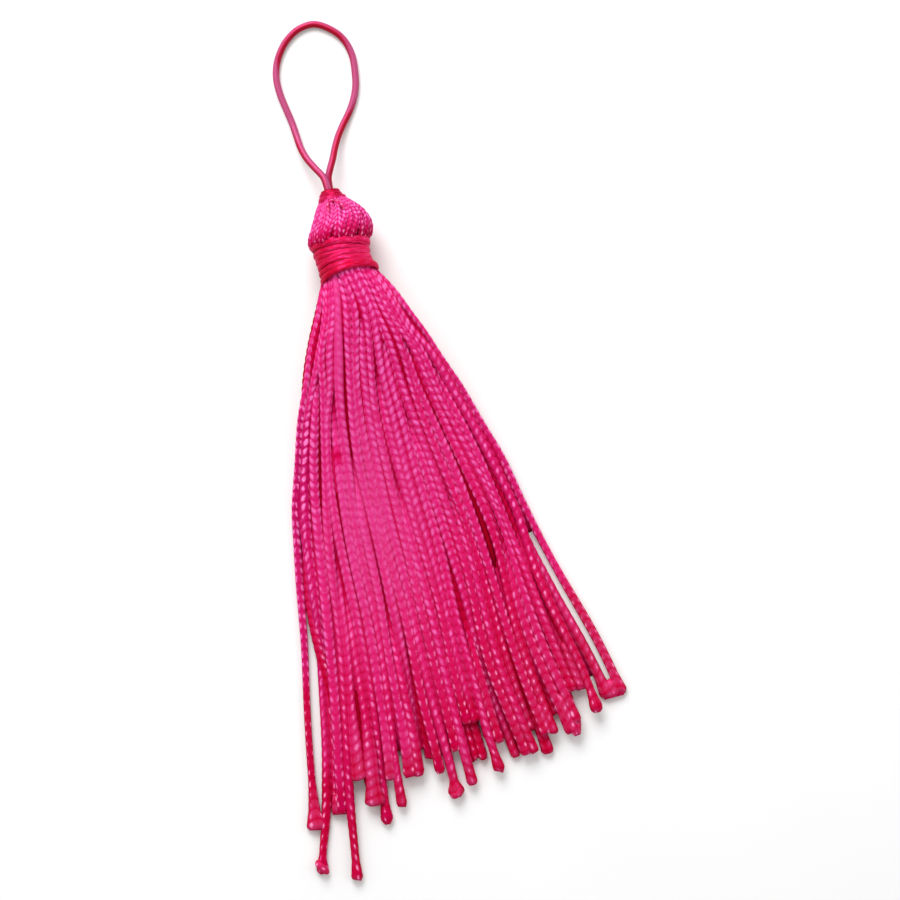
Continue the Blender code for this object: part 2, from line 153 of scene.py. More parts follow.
# Route of the hanging loop: a satin cord whose two ends go into the crown
LOOP_DIAMETER = 1.0
LOOP_CLEARANCE = 0.05
LOOP_LANDS_AT = 24.0
LOOP_CROSSING = 0.5
LOOP_ROUTE = (
    # across, along
    (-0.57, 13.35), (-0.60, 14.9), (-1.3, 16.6), (-2.1, 18.2), (-2.6, 19.9), (-2.8, 21.8),
    (-3.0, 23.9), (-3.35, 26.0), (-3.7, 28.2), (-3.75, 30.4), (-3.3, 32.4), (-2.35, 34.2),
    (-0.9, 35.8), (1.1, 36.95), (3.6, 37.1), (6.0, 35.5), (7.3, 33.6), (7.8, 31.3),
    (7.65, 29.1), (7.25, 27.0), (6.45, 25.1), (5.35, 23.4), (4.15, 21.9), (3.1, 20.4),
    (2.25, 18.8), (1.55, 17.2), (0.95, 15.9), (0.60, 14.7), (0.57, 13.35),
)

LOOP_SIDES = 20

# Where the painted light falls round the cord, turning slowly along it, and its stretches of painted deep
# shade
LOOP_SHADES = (
    # share of its length, turn of the painted light, painted shade
    (0.0, 0.8, 0.5),
    (0.15, 0.8, 0.8),
    (0.21, 0.2, 0.1),
    (0.33, 0.0, 0.1),
    (0.38, -1.1, 0.9),
    (0.58, -1.2, 1.0),
    (0.65, -0.3, 0.3),
    (0.74, 0.1, 0.0),
    (0.79, 1.1, 1.0),
    (0.90, 1.1, 1.0),
    (1.0, 0.8, 0.5),
)

# Spread of the dressed skirt against its settled layout, left and right of the axis
SPREAD = (
    # down, left, right
    (-1.0, 1.00, 1.00),
    (0.5, 1.10, 1.15),
    (1.5, 1.08, 1.38),
    (4.0, 1.01, 0.92),
    (7.5, 1.03, 0.76),
    (11.5, 1.085, 0.925),
    (16.5, 1.095, 1.03),
    (22.5, 1.04, 0.995),
    (30.0, 0.995, 0.94),
    (39.0, 1.03, 0.965),
    (48.0, 1.00, 0.995),
    (57.0, 1.00, 1.00),
)

# Ways of the stray strands, by their place from the left
STRAYS = {
    0: (
        # down, across
        (34.0, -15.9), (42.0, -17.6), (50.0, -18.75), (58.0, -20.25), (66.0, -21.7),
        (72.0, -22.75), (76.6, -23.6),
    ),
    1: (
        (34.0, -14.9), (42.0, -16.1), (50.0, -16.7), (58.0, -18.0), (66.0, -19.4),
        (72.0, -20.9), (78.0, -22.35), (83.3, -24.3),
    ),
    3: ((30.0, -13.3), (36.0, -15.2), (42.0, -16.6), (49.0, -16.9), (60.0, -16.6), (71.0, -18.1)),
    5: ((30.0, -12.1), (38.0, -14.2), (46.0, -15.0), (60.0, -15.3), (71.0, -17.2)),
    54: (
        (42.0, 15.75), (46.0, 15.9), (52.0, 16.95), (58.0, 18.5), (62.0, 19.4),
        (66.0, 19.95), (69.9, 20.25),
    ),
    55: ((40.0, 14.3), (46.0, 15.3), (52.0, 16.5), (58.0, 17.8), (65.5, 19.8)),
    56: (
        (34.0, 14.7), (38.0, 15.2), (42.0, 15.75), (46.0, 16.65), (50.0, 17.65),
        (54.0, 18.65), (58.0, 19.8), (64.0, 21.4), (68.1, 22.6),
    ),
    57: ((34.0, 15.6), (42.0, 17.65), (50.0, 19.85), (58.0, 22.2), (64.0, 23.5), (68.0, 24.5)),
}

# Partings between bunches of strands, where the under layer shows deep down
PARTINGS = (
    # strand left of it, then (across, down, opening) along the parting
    (0, ((-4.3, 3.5, 0.6), (-5.8, 6.3, 1.1), (-7.3, 9.3, 1.1), (-9.0, 14.0, 0.5))),
    (4, ((-7.1, 12.0, 0.2), (-9.1, 19.1, 0.3), (-11.1, 26.3, 0.25), (-12.4, 33.0, 0.1))),
    (15, ((-1.6, 3.0, 0.3), (-2.7, 7.8, 0.4), (-4.7, 16.4, 0.3), (-5.65, 22.9, 0.1), (-6.1, 25.5, 0.0))),
    (26, ((1.8, 5.5, 0.15), (1.4, 7.1, 0.25), (0.0, 15.6, 0.3), (-0.7, 21.5, 0.1))),
    (39, ((3.9, 8.5, 0.15), (4.3, 13.7, 0.25), (4.1, 20.5, 0.1))),
    (54, ((6.0, 6.0, 0.5), (6.9, 7.7, 0.9), (7.95, 11.0, 1.3), (9.5, 15.5, 0.7))),
    (52, ((9.05, 15.0, 0.15), (10.2, 20.3, 0.35), (12.1, 25.5, 0.2))),
    (44, ((6.3, 12.5, 0.05), (6.6, 19.5, 0.2), (7.8, 25.0, 0.25), (9.87, 34.3, 0.5), (12.2, 44.1, 0.1))),
    (42, ((7.75, 32.8, 0.1), (8.66, 37.8, 0.3), (9.4, 42.0, 0.1))),
    (11, ((-8.1, 20.4, 0.05), (-8.8, 27.0, 0.25), (-10.3, 38.0, 0.05))),
    (2, ((-14.6, 39.0, 0.1), (-15.4, 49.0, 0.4), (-16.4, 56.0, 0.2))),
    (42, ((9.2, 55.0, 0.1), (9.7, 60.9, 0.4), (10.9, 71.0, 0.3))),
    (7, ((-13.4, 58.0, 0.1), (-14.0, 67.2, 0.3), (-14.5, 71.0, 0.2))),
)
PARTING_FADE = 4.0

# The light that the flanks of a knitted cord keep
FLANK_SHADE = 0.28

# Fillings under the seams of the sheet: reach, height, shade near and far down, half width
SEAM_REACH = 1.9
SEAM_RISE = 0.26
SEAM_SHADE = (0.20, 0.13)
SEAM_HALF = 0.24
SEAM_DROP = (1.35, 1.3)
FLOOR_SINK = 0.15
STRAND_LIFT = 0.13
SEAM_SIDES = 6
SEAM_TONE = 0.45
FLOOR_RADIUS = 0.42

# Locks melted together at the hem: strands, down, half width by distance back, slant
WEBS = (
    ((56, 57), 68.5, ((2.9, 1.15), (2.2, 1.5), (1.2, 1.8), (0.4, 1.75), (0.0, 1.2)), 0.3),
    ((48, 49), 72.4, ((6.5, 0.9), (4.5, 1.3), (2.4, 1.4), (1.2, 1.1), (0.0, 0.45)), 0.0),
    ((44, 46), 71.4, ((5.0, 0.9), (3.5, 1.2), (1.2, 1.3), (0.3, 1.1), (0.0, 0.7)), 0.6),
    ((53, 54), 66.2, ((7.5, 0.7), (5.0, 1.1), (1.5, 1.35), (0.4, 1.2), (0.0, 0.8)), 0.2),
    ((2, 4), 75.6, ((3.0, 0.8), (2.0, 1.1), (0.3, 1.2), (0.0, 1.1)), 0.0),
)
WEB_HALF = 0.52
WEB_LIFT = 0.14

# Ends cut shorter or left longer than the rest of their lock, and broader ends
TRIMMED = {
    # strand: how much shorter
    0: -0.5,
    1: -0.2,
    2: -0.3,
    4: -0.3,
    6: -0.3,
    11: -0.2,
    24: -0.2,
    33: -0.35,
    49: 1.3,
    53: 0.6,
    57: -0.3,
}
BROADENED = {
    # strand: (down, share of the width)
    0: ((3.0, 1.0), (6.3, 0.75), (10.0, 0.9), (16.0, 1.0), (70.0, 1.0), (73.5, 1.30), (76.6, 1.45)),
    7: ((60.0, 1.0), (66.0, 1.40), (71.4, 1.50)),
    10: ((62.0, 1.0), (69.0, 1.40), (75.5, 1.40)),
    13: ((62.0, 1.0), (68.0, 1.40), (72.4, 1.50)),
    15: ((68.0, 1.0), (72.0, 1.15), (76.7, 1.25)),
    17: ((62.0, 1.0), (68.0, 1.20), (72.8, 1.25)),
    19: ((62.0, 1.0), (68.0, 1.20), (72.8, 1.25)),
    24: ((75.0, 1.0), (76.0, 1.25), (77.0, 1.25)),
    28: ((66.0, 1.0), (70.0, 1.15), (75.9, 1.25)),
    43: ((66.0, 1.0), (70.0, 1.25), (74.1, 1.30)),
    56: ((40.0, 1.0), (54.0, 1.20), (68.1, 1.25)),
    57: ((4.0, 1.0), (8.0, 0.65), (13.0, 0.65), (19.0, 1.0), (46.0, 1.0), (56.0, 1.20), (68.1, 1.25)),
}

# Small sideways leans of single strands, most of them near the hem
ASIDE = {
    # strand: (down, shift)
    0: ((30.0, 0.0), (45.0, -0.15), (76.6, -0.15)),
    1: ((75.0, 0.0), (83.3, -0.25)),
    6: ((66.0, 0.0), (74.0, -0.35), (85.3, -0.45)),
    11: ((70.0, 0.0), (78.5, 0.2)),
    15: ((60.0, 0.0), (71.0, -0.75), (76.7, -0.25)),
    19: ((60.0, 0.0), (72.8, 0.25)),
    22: ((60.0, 0.0), (70.0, 0.3)),
    24: ((64.0, 0.0), (77.0, 0.35)),
    26: ((64.0, 0.0), (74.0, 0.2)),
    33: ((66.0, 0.0), (74.9, 0.2)),
    37: ((60.0, 0.0), (73.5, 0.4)),
    39: ((60.0, 0.0), (73.5, 0.7)),
    41: ((60.0, 0.0), (73.5, 1.0)),
    42: ((60.0, 0.0), (70.4, 0.4)),
    48: ((60.0, 0.0), (71.9, 0.6)),
    49: ((60.0, 0.0), (68.0, 0.7), (71.9, 0.85)),
}

# Where a stitch is pulled in, painted as a patch of deep shade, and how far this shows
SNAG_AT = (-7.85, 24.7)
SNAG_REACH = (0.8, 1.5)

# Strands along the skirt's sides, whose stitches stand out most with deeper painted shade and brighter
# painted highlights
EDGED = {0: 0.8, 1: 0.8, 2: 0.7, 4: 0.4, 54: 0.1, 56: 0.15, 57: 0.15}

# Strands that hang free, and from where
FREE_FROM = {0: 52.0, 1: 66.0, 6: 74.0, 54: 62.0, 56: 56.0, 57: 48.0}

# The over layer's sheet of strands: heights of its edges and middle, and its fullness
SHEET = (
    # down, edge height, middle height, fullness
    (-1.0, 5.4, 8.75, 2.0),
    (3.0, 5.6, 8.6, 2.1),
    (6.0, 5.3, 8.05, 2.2),
    (10.0, 4.6, 7.1, 2.2),
    (15.0, 3.5, 5.8, 2.4),
    (20.0, 2.4, 4.6, 2.6),
    (26.0, 1.5, 3.5, 3.0),
    (32.0, 0.9, 2.7, 4.0),
    (40.0, 0.6, 1.95, 6.0),
    (50.0, 0.5, 1.65, 8.0),
    (90.0, 0.5, 1.62, 8.0),
)

# Strands of the over layer that start below its sheet: where they come up into it
SURFACING = {
    # place from the left: down
    20: 0.0,
    24: 8.0,
    33: 12.0,
    44: 12.0,
    4: 14.0,
    30: 18.0,
    52: 19.0,
    13: 22.0,
    37: 24.0,
    17: 30.0,
    28: 34.0,
    1: 36.0,
    41: 37.0,
    7: 44.0,
    56: 44.0,
    48: 46.0,
    10: 49.0,
    53: 50.0,
    19: 54.0,
    35: 57.0,
}
SURFACING_FADE = 7.0
SINK = 0.80

# The sheet's body between the strays: its outer strands, the levels from which it is laid apart
# from them, and the distances from a tip over which its strand goes back to its own place
BODY_ENDS = (2, 54)
BODY_FROM = (36.0, 52.0)
HEM_REACH = (44.0, 10.0)

# Levels of the dressed strands, points over the sheet, easing of corners, pull within a lock
STEP_DOWN = 0.5
TOP_LEVEL = -1.0
PROFILE_POINTS = 161
ROUNDING = 2.2
FLOW_ROUNDING = 6.5
LOCK_PULL = 0.16

# Width of a cord by the distance to its neighbour: snug in the sheet, slimmer alone
ROOM_ALONE = 9.0
WIDTH_BY_ROOM = ((0.8, 0.80), (1.0, 0.95), (1.25, 1.12), (1.45, 1.16), (1.7, 1.02), (2.1, 0.86))

# Where the strands lie flattest: centre across and down, reach across and down
CALM_AT = (-5.5, 34.0)
CALM_REACH = (6.0, 17.0)
SMOOTH_STRAND = 15

# Shapes of the knitted stitches
STITCH_ROWS = 4
STITCH_COLUMNS = 8
STITCH_RIDGE = (0.40, 0.85, 1.0, 0.85)
STITCH_ACROSS = (0.0, 0.12, 0.25, 0.38, 0.5, 0.38, 0.25, 0.12)
STITCH_SWELL = (0.42, 0.85, 1.0, 0.88, 0.66, 0.88, 1.0, 0.85)
STITCH_GROWTH = 0.0042
GOLDEN = 0.6180339887

# Swelling of each kind of strand end: distance back from the tip, share of the radius
END_SWELL = {
    "cut": ((2.0, 1.0), (0.6, 1.10), (0.15, 1.02), (0.0, 0.70)),
    "flared": ((3.2, 1.0), (1.4, 1.30), (0.4, 1.50), (0.1, 1.30), (0.0, 0.9)),
    "swollen": ((3.4, 1.0), (2.2, 1.25), (1.1, 1.60), (0.35, 1.35), (0.0, 0.6)),
    "knot": ((3.2, 1.0), (2.4, 1.05), (1.6, 1.45), (0.9, 1.65), (0.35, 1.40), (0.0, 0.6)),
}
KNOT_RADIUS = 0.66
KNOT_CORD = 0.50
KNOT_BACK = 1.0
KNOT_TILT = 0.55
KNOT_TURNS = 1.15

# Outline of the head of doubled cords: height along the axis, half width
HEAD_OUTLINE = (
    (4.4, 4.1), (5.0, 4.62), (5.6, 4.84), (6.3, 4.88), (7.0, 4.74), (7.8, 4.44),
    (8.6, 4.06), (9.3, 3.66), (10.0, 3.18), (10.6, 2.68), (11.2, 2.12), (11.6, 1.70),
)

# The head's silk against the skirt's: strength of its colours, and of its crests' painted highlights in red,
# green, blue
HEAD_SHADE = 0.82
HEAD_LIGHTS = (1.26, 1.50, 1.44)

# Where the head's silk is smoothest: across, along, and its reach across and along
HEAD_CALM = (-1.3, 9.4, 1.7, 1.6)
FOLD_STEPS = 41

# A small tuck in one cord below the crown: across, along
TUCK = (
    (-1.25, 8.9), (-1.12, 9.6), (-0.85, 10.3), (-0.25, 10.8), (0.35, 10.65), (0.78, 10.1),
    (0.95, 9.4), (1.0, 8.8),
)

# Outline of the crown binding: height along the axis, radius
CROWN_OUTLINE = ((10.75, 2.3), (11.2, 2.08), (11.7, 1.80), (12.2, 1.50), (12.65, 1.12))

# Strength of the crown thread's colours against the neck thread's
CROWN_SHADE = 0.74

# Slant and bow of the neck binding's edges: middle, rise to the right, rise on top
NECK_FOOT = (-0.31, 0.28, 0.50)
NECK_TOP = (4.95, -0.37, 0.10)

# Colours that deepen a colour: of a dark strand (its own tone and painted shade), at the hem (painted
# shade), in random patches of the silk, at the thread's edges (painted shade), on its darker stretches
# (painted shade on the neck), and on the loop's flanks and dark stretches (painted shade)
SILK_DYE_AND_SHADE = (0.90, 0.14, 0.38)
HEM_DYE_AND_SHADE = (0.82, 0.03, 0.38)
PATCH_DYE = (0.95, 0.50, 0.66)
THREAD_EDGE_SHADE = (0.80, 0.10, 0.20)
THREAD_DARKENING = (0.72, 0.04, 0.22)
LOOP_FLANK_SHADE = (0.80, 0.0, 0.20)
LOOP_STRETCH_SHADE = (0.95, 0.12, 0.32)

# Painted shade of the body and painted highlights (sparks) of the strands whose stitches stand out most
EDGED_BODY_SHADE = (0.44, 0.003, 0.10)
EDGED_SPARK = (0.98, 0.24, 0.60)

# Tints of the highlights
SILK_SHEEN = (1.0, 0.25, 0.70, 1.0)
THREAD_SHEEN = (1.0, 0.35, 0.75, 1.0)
LOOP_SHEEN = (1.0, 0.55, 0.82, 1.0)

# Fineness of a wound thread and of the sleeve under it
STEPS_PER_TURN = 72
SLEEVE_ROWS = 14
SLEEVE_SIDES = 64
THREAD_SIDES = 12

# The lights, from the picture's middle: to the right, up the picture, above, and their sizes
KEY_PLACE = (-90.0, 290.0, 270.0)
KEY_SIZE = 240.0
SIDE_PLACE = (260.0, 60.0, 220.0)
SIDE_SIZE = 220.0

# Framing of the picture
PICTURE_WIDTH = 130.5
PICTURE_CENTRE = (8.24, -27.8)
PICTURE_LEVEL = 2.0
PICTURE_ROLL_DEG = 13.5
CAMERA_HEIGHT = 450.0
SENSOR_WIDTH = 36.0

NECK_HEIGHT = BALL_RADIUS - BALL_FLAT + BALL_CENTRE * math.sin(math.radians(NECK_PITCH_DEG))
HEAD_PLACE = Matrix.Translation((0.0, 0.0, NECK_HEIGHT)) @ Matrix.Rotation(
    -math.radians(NECK_PITCH_DEG), 4, "X"
)


def smooth(amount):
    """Ease from 0 to 1 with level ends."""
    amount = np.clip(amount, 0.0, 1.0)
    return amount * amount * (3.0 - 2.0 * amount)


def past(value, start, span):
    """How far a value has come past a start, eased from 0 to 1 over a span."""
    return smooth((value - start) / span)


def read_off(table, value):
    """Value read off a table of two columns."""
    return np.interp(value, *zip(*table))


def nearness(value, centre, reach):
    """Squared distance from a centre, counted in reaches."""
    return ((value - centre) / reach) ** 2


def over_layer():
    """Numbers of the over layer's strands, from the left."""
    return [index for index, strand in enumerate(STRANDS) if strand["layer"] == "over"]


def chance(number, salt):
    """Even, repeatable value from 0 to 1 for a numbered piece."""
    return ((number + 1) * GOLDEN + salt * 0.7548776662 + number * salt * 0.1327) % 1.0


def axis_drift(along):
    """Sideways offset of the tassel's axis at a height along it."""
    return float(read_off(AXIS_DRIFT, along))


def on_axis(across, along, out):
    """Layout point of a point given about the pitched axis of head and neck."""
    return HEAD_PLACE @ Vector((axis_drift(along) + across, along, out))


def fan_half_width(down):
    """Half width of the skirt, centre to the outermost strand's centre."""
    swell = FAN_SWELL * down**2 / (down**2 + FAN_SWELL_AT**2)
    return FAN_START + FAN_SLOPE * down + swell - STRAND_SPACING / 2.0


def hem_strands():
    """Every strand with its fan share, length, layer, bow and end, sorted across the hem."""
    strands = []
    for across, down, count, layer, bow, end in LOCKS:
        for index in range(count):
            place = across + (index - (count - 1) / 2.0) * STRAND_SPACING
            share = place / fan_half_width(down)
            strands.append({"share": share, "down": down, "layer": layer, "bow": bow, "end": end})
    return sorted(strands, key=lambda strand: strand["share"])


def nudges(places, spacing):
    """Small moves that take overlapping circles of one cross-section apart."""
    places = np.ascontiguousarray(places)
    gaps = places[:, :, None] - places[:, None, :]
    distance = np.hypot(*gaps) + 1e-9
    share = np.clip(spacing - distance, 0.0, None) / distance * NUDGE
    np.fill_diagonal(share, 0.0)
    return (share * gaps).sum(axis=2)


def push_apart(places, spacing, floor, rounds, goal=None, pull=0.0):
    """Settle circles of one cross-section: apart, off the floor, drawn weakly to a goal."""
    places = places.copy()
    for _ in range(rounds):
        if goal is not None:
            places += pull * (goal - places)
        places += nudges(places, spacing)
        np.maximum(places[1], floor, out=places[1])
    return places


def part_between(upper, lower, here, spacing):
    """Keep strands apart on their straight way from one station to the next."""
    for share in BETWEEN:
        moves = nudges((1.0 - share) * upper[:, here] + share * lower[:, here], spacing)
        upper[:, here] += (1.0 - share) * moves
        lower[:, here] += share * moves


def root_slots(count):
    """Even packing of the strands' roots inside the neck's circle."""
    order = np.arange(count) + 0.5
    angle = order * math.pi * (3.0 - math.sqrt(5.0))
    places = ROOT_CIRCLE * np.sqrt(order / count) * np.array((np.cos(angle), np.sin(angle)))
    for _ in range(ROOT_ROUNDS):
        places = push_apart(places, ROOT_SPACING, -ROOT_CIRCLE, 1)
        places *= np.minimum(1.0, ROOT_CIRCLE / np.maximum(np.hypot(*places), 1e-9))
    return places


def assign_roots(strands):
    """Give each strand a root: upper slots to the over layer, in order across the neck."""
    across, out = root_slots(len(strands))
    over_count = sum(strand["layer"] == "over" for strand in strands)
    by_height = np.argsort(-out, kind="stable")
    for layer, slots in (("over", by_height[:over_count]), ("under", by_height[over_count:])):
        ordered = iter(sorted(slots, key=lambda slot: across[slot]))
        for strand in strands:
            if strand["layer"] == layer:
                slot = next(ordered)
                strand["root"] = (float(across[slot]), float(out[slot]))


def spacing_at(down):
    """Spacing of strand centres, tight at the neck and full further down."""
    return ROOT_SPACING + (STRAND_SPACING - ROOT_SPACING) * smooth(down / FULL_WIDTH_AT)


def width_at(down):
    """Side of a strand's square solid."""
    return ROOT_WIDTH + (STRAND_WIDTH - ROOT_WIDTH) * smooth(down / FULL_WIDTH_AT)


def skirt_layout():
    """The strands, and for each station the rest places of all: across and height."""
    strands = hem_strands()
    assign_roots(strands)
    keys = ("share", "down", "bow")
    share, length, bow = (np.array([strand[key] for strand in strands]) for key in keys)
    roots = np.array([strand["root"] for strand in strands]).T + [[0.0], [NECK_HEIGHT]]
    places = np.zeros((len(STATIONS), 2, len(strands)))
    present, goals = [], []
    for level, down in enumerate(STATIONS):
        here = length > (STATIONS[level - 1] if level else 0.0)
        sorting = smooth(down / SORTED_AT)
        mixed = roots[0] / ROOT_CIRCLE * (1.0 - sorting) + share * sorting
        travel = np.clip(down / length, 0.0, 1.0) ** BOW_POWER
        goal_x = mixed * fan_half_width(down) + bow * np.sin(math.pi * travel)
        floor = width_at(down) / 2.0
        goal_z = floor + (roots[1] - floor) * (1.0 - smooth(down / SETTLED_AT))
        goal = np.array((goal_x, goal_z))
        before = places[level - 1] if level else roots
        places[level] = goal_x, np.minimum(before[1], goal_z + GENTLE_RISE)
        places[level][:, here] = push_apart(
            places[level][:, here], spacing_at(down), floor, FIRST_ROUNDS, goal[:, here], FIRST_PULL
        )
        present.append(here)
        goals.append((goal, floor))
    for sweep in range(SWEEPS):
        settling = sweep < SWEEPS - FINAL_SWEEPS
        for level, down in enumerate(STATIONS):
            here = present[level]
            goal, floor = goals[level]
            above = places[level - 1] if level else roots
            if settling:
                below = min(level + 1, len(STATIONS) - 1)
                goes_on = here & present[below]
                moves = SMOOTHING * (0.5 * (above + places[below]) - places[level])
                places[level][:, goes_on] += moves[:, goes_on]
            drawn_to = goal[:, here] if settling else None
            places[level][:, here] = push_apart(
                places[level][:, here], spacing_at(down), floor, SWEEP_ROUNDS, drawn_to, SWEEP_PULL
            )
            if level:
                down_above = STATIONS[level - 1]
                part_between(above, places[level], here, spacing_at(down_above) * BETWEEN_SHARE)
                np.maximum(above[1], width_at(down_above) / 2.0, out=above[1])
                np.maximum(places[level][1], floor, out=places[level][1])
    return strands, places


STRANDS, REST_PLACES = skirt_layout()


def crown_span():
    """Foot and top of the crown binding, seated on the ball."""
    foot = BALL_CENTRE + math.sqrt(BALL_RADIUS**2 - CROWN_SEAT_RADIUS**2) + SEAT_GAP
    return foot, foot + CROWN_BINDING_HEIGHT


def layout_shift():
    """Offset from the layout to the frame, read off the solids' own boxes."""
    skirt_low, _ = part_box("head_and_skirt")
    crown_low, crown_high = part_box("crown_binding")
    farthest = max(strand["down"] for strand in STRANDS)
    middle = (crown_low[0] + crown_high[0]) / 2.0 / MM
    return Vector((middle - axis_drift(crown_span()[0]), skirt_low[1] / MM + farthest, 0.0))


SHIFT = layout_shift()


# ---------------------------------------------------------------------------
# Tubes that follow a route
# ---------------------------------------------------------------------------


def arc_lengths(points):
    """Distance along a route at each of its points."""
    steps = np.linalg.norm(np.diff(points, axis=0), axis=1)
    return np.concatenate(([0.0], np.cumsum(steps)))


def rounded_route(points, fineness=12):
    """Points along a Catmull-Rom curve through the given ones."""
    route = [Vector(point) for point in points]
    route = [2.0 * route[0] - route[1], *route, 2.0 * route[-1] - route[-2]]
    fine = []
    for index in range(1, len(route) - 2):
        before, start, end, after = route[index - 1 : index + 3]
        for part in range(fineness):
            t = part / fineness
            fine.append(
                0.5
                * (
                    2.0 * start
                    + (end - before) * t
                    + (2.0 * before - 5.0 * start + 4.0 * end - after) * t**2
                    + (3.0 * start - before - 3.0 * end + after) * t**3
                )
            )
    fine.append(route[-2])
    return np.array([tuple(point) for point in fine])


def directions(points):
    """Unit direction of a route at each of its points."""
    ahead = np.gradient(points, axis=0)
    return ahead / np.linalg.norm(ahead, axis=1, keepdims=True)


def sides_of(points, upward=(0.0, 0.0, 1.0)):
    """Side and upright vectors across a route, upright kept near the given ones."""
    ahead = directions(points)
    side = np.cross(ahead, upward)
    side /= np.linalg.norm(side, axis=1, keepdims=True)
    return side, np.cross(side, ahead)


def sample(along, lengths, values):
    """Values given along a route, read at other distances."""
    flat = [np.interp(along, lengths, values[:, axis]) for axis in range(values.shape[1])]
    return np.stack(flat, axis=-1)


class MeshStock:
    """Collects the points, faces and stitch values of many tubes for one mesh."""

    def __init__(self):
        self.points, self.faces, self.places, self.shades = [], [], [], []
        self.count = 0

    def add_grid(self, points, u, v, height, tone, relief=0.0):
        """One closed tube from a grid of rings; its two ends are capped."""
        rings, columns = points.shape[:2]
        index = self.count + np.arange(rings * columns).reshape(rings, columns)
        beside = np.roll(index, -1, axis=1)
        quads = np.stack((index[:-1], beside[:-1], beside[1:], index[1:]), axis=-1).reshape(-1, 4)
        wide = np.concatenate((u, u[:, -1:] + (u[:, -1:] - u[:, -2:-1])), axis=1)
        tall = np.concatenate((v, v[:, :1]), axis=1)
        grid = np.stack((wide, tall), axis=-1)
        corners = np.stack((grid[:-1, :-1], grid[:-1, 1:], grid[1:, 1:], grid[1:, :-1]), axis=2)
        # Kept per point: the painted light level, the darkening by tone and the painted stitch contrast.
        height, tone, relief = (np.broadcast_to(part, (rings, columns)) for part in (height, tone, relief))
        shades = np.stack((height, tone, relief))
        self.keep(points.reshape(-1, 3), quads, corners, shades.reshape(3, -1))
        self.add_cap(points[0], index[0][::-1], u[0][::-1], v[0, 0], shades[:, 0])
        self.add_cap(points[-1], index[-1], u[-1], v[-1, 0], shades[:, -1])

    def add_cap(self, ring, index, u, v, shades):
        """Fan of triangles over one end, its faces stored as quads without a fourth corner."""
        missing = np.full(len(index), -1)
        middle = np.full(len(index), self.count)
        fan = np.stack((index, np.roll(index, -1), middle, missing), axis=-1)
        place = np.stack((u, np.full(len(index), v)), axis=-1)
        self.keep(ring.mean(axis=0)[None], fan, np.stack((place,) * 3, axis=1), shades.mean(axis=1)[:, None])

    def keep(self, points, faces, places, shades):
        """Add points with their shades, and faces with their corners' places."""
        self.points.append(points)
        self.faces.append(faces)
        self.places.append(places.reshape(-1, 2))
        self.shades.append(shades)
        self.count += len(points)

    def build(self, name, material):
        """Mesh object of everything collected, placed in the frame."""
        points = (np.concatenate(self.points) + np.array(SHIFT)) * MM
        points[:, 2] = np.maximum(points[:, 2], 0.0)
        faces = np.concatenate(self.faces)
        corners = faces[faces >= 0]
        starts = np.concatenate(([0], np.cumsum(np.where(faces[:, 3] < 0, 3, 4))[:-1]))
        mesh = bpy.data.meshes.new(name)
        mesh.vertices.add(len(points))
        mesh.vertices.foreach_set("co", points.astype(np.float32).ravel())
        mesh.loops.add(len(corners))
        mesh.loops.foreach_set("vertex_index", corners.astype(np.int32))
        mesh.polygons.add(len(faces))
        mesh.polygons.foreach_set("loop_start", starts.astype(np.int32))
        layer = mesh.uv_layers.new(name="stitches")
        layer.uv.foreach_set("vector", np.concatenate(self.places).astype(np.float32).ravel())
        labels = ("painted_light_level", "strand_tone", "stitch_relief")
        for label, values in zip(labels, np.concatenate(self.shades, axis=1)):
            attribute = mesh.attributes.new(label, "FLOAT", "POINT")
            attribute.data.foreach_set("value", values.astype(np.float32))
        mesh.update(calc_edges=True)
        mesh.validate()
        mesh.shade_smooth()
        mesh.materials.append(material)
        piece = bpy.data.objects.new(name, mesh)
        bpy.context.collection.objects.link(piece)
        return piece


def cord_look(settings, **changes):
    """How a knitted cord is stitched and shaded: plain values and the changes to them."""
    look = {
        # the stitches' pitch and its growth along the cord, their depth and columns
        "pitch": settings.stitch_pitch / MM,
        "growth": STITCH_GROWTH,
        "relief": settings.stitch_relief,
        "wales": settings.wales,
        # the cord's turn and twist about itself, the side its stitches lean to
        "turn": 0.0,
        "twist": 0.0,
        "lean": 1.0,
        # how far its end is cut aslant, and where the cut is deepest
        "slant": 0.0,
        "slant_turn": 0.0,
        # how clear its stitches are, how dark it is (tone and painted shade), how deep it lies (painted
        # shade), painted light on its flanks
        "fade": 0.5,
        "tone": 0.0,
        "deep": 0.0,
        "shut": FLANK_SHADE,
    }
    return {**look, **changes}


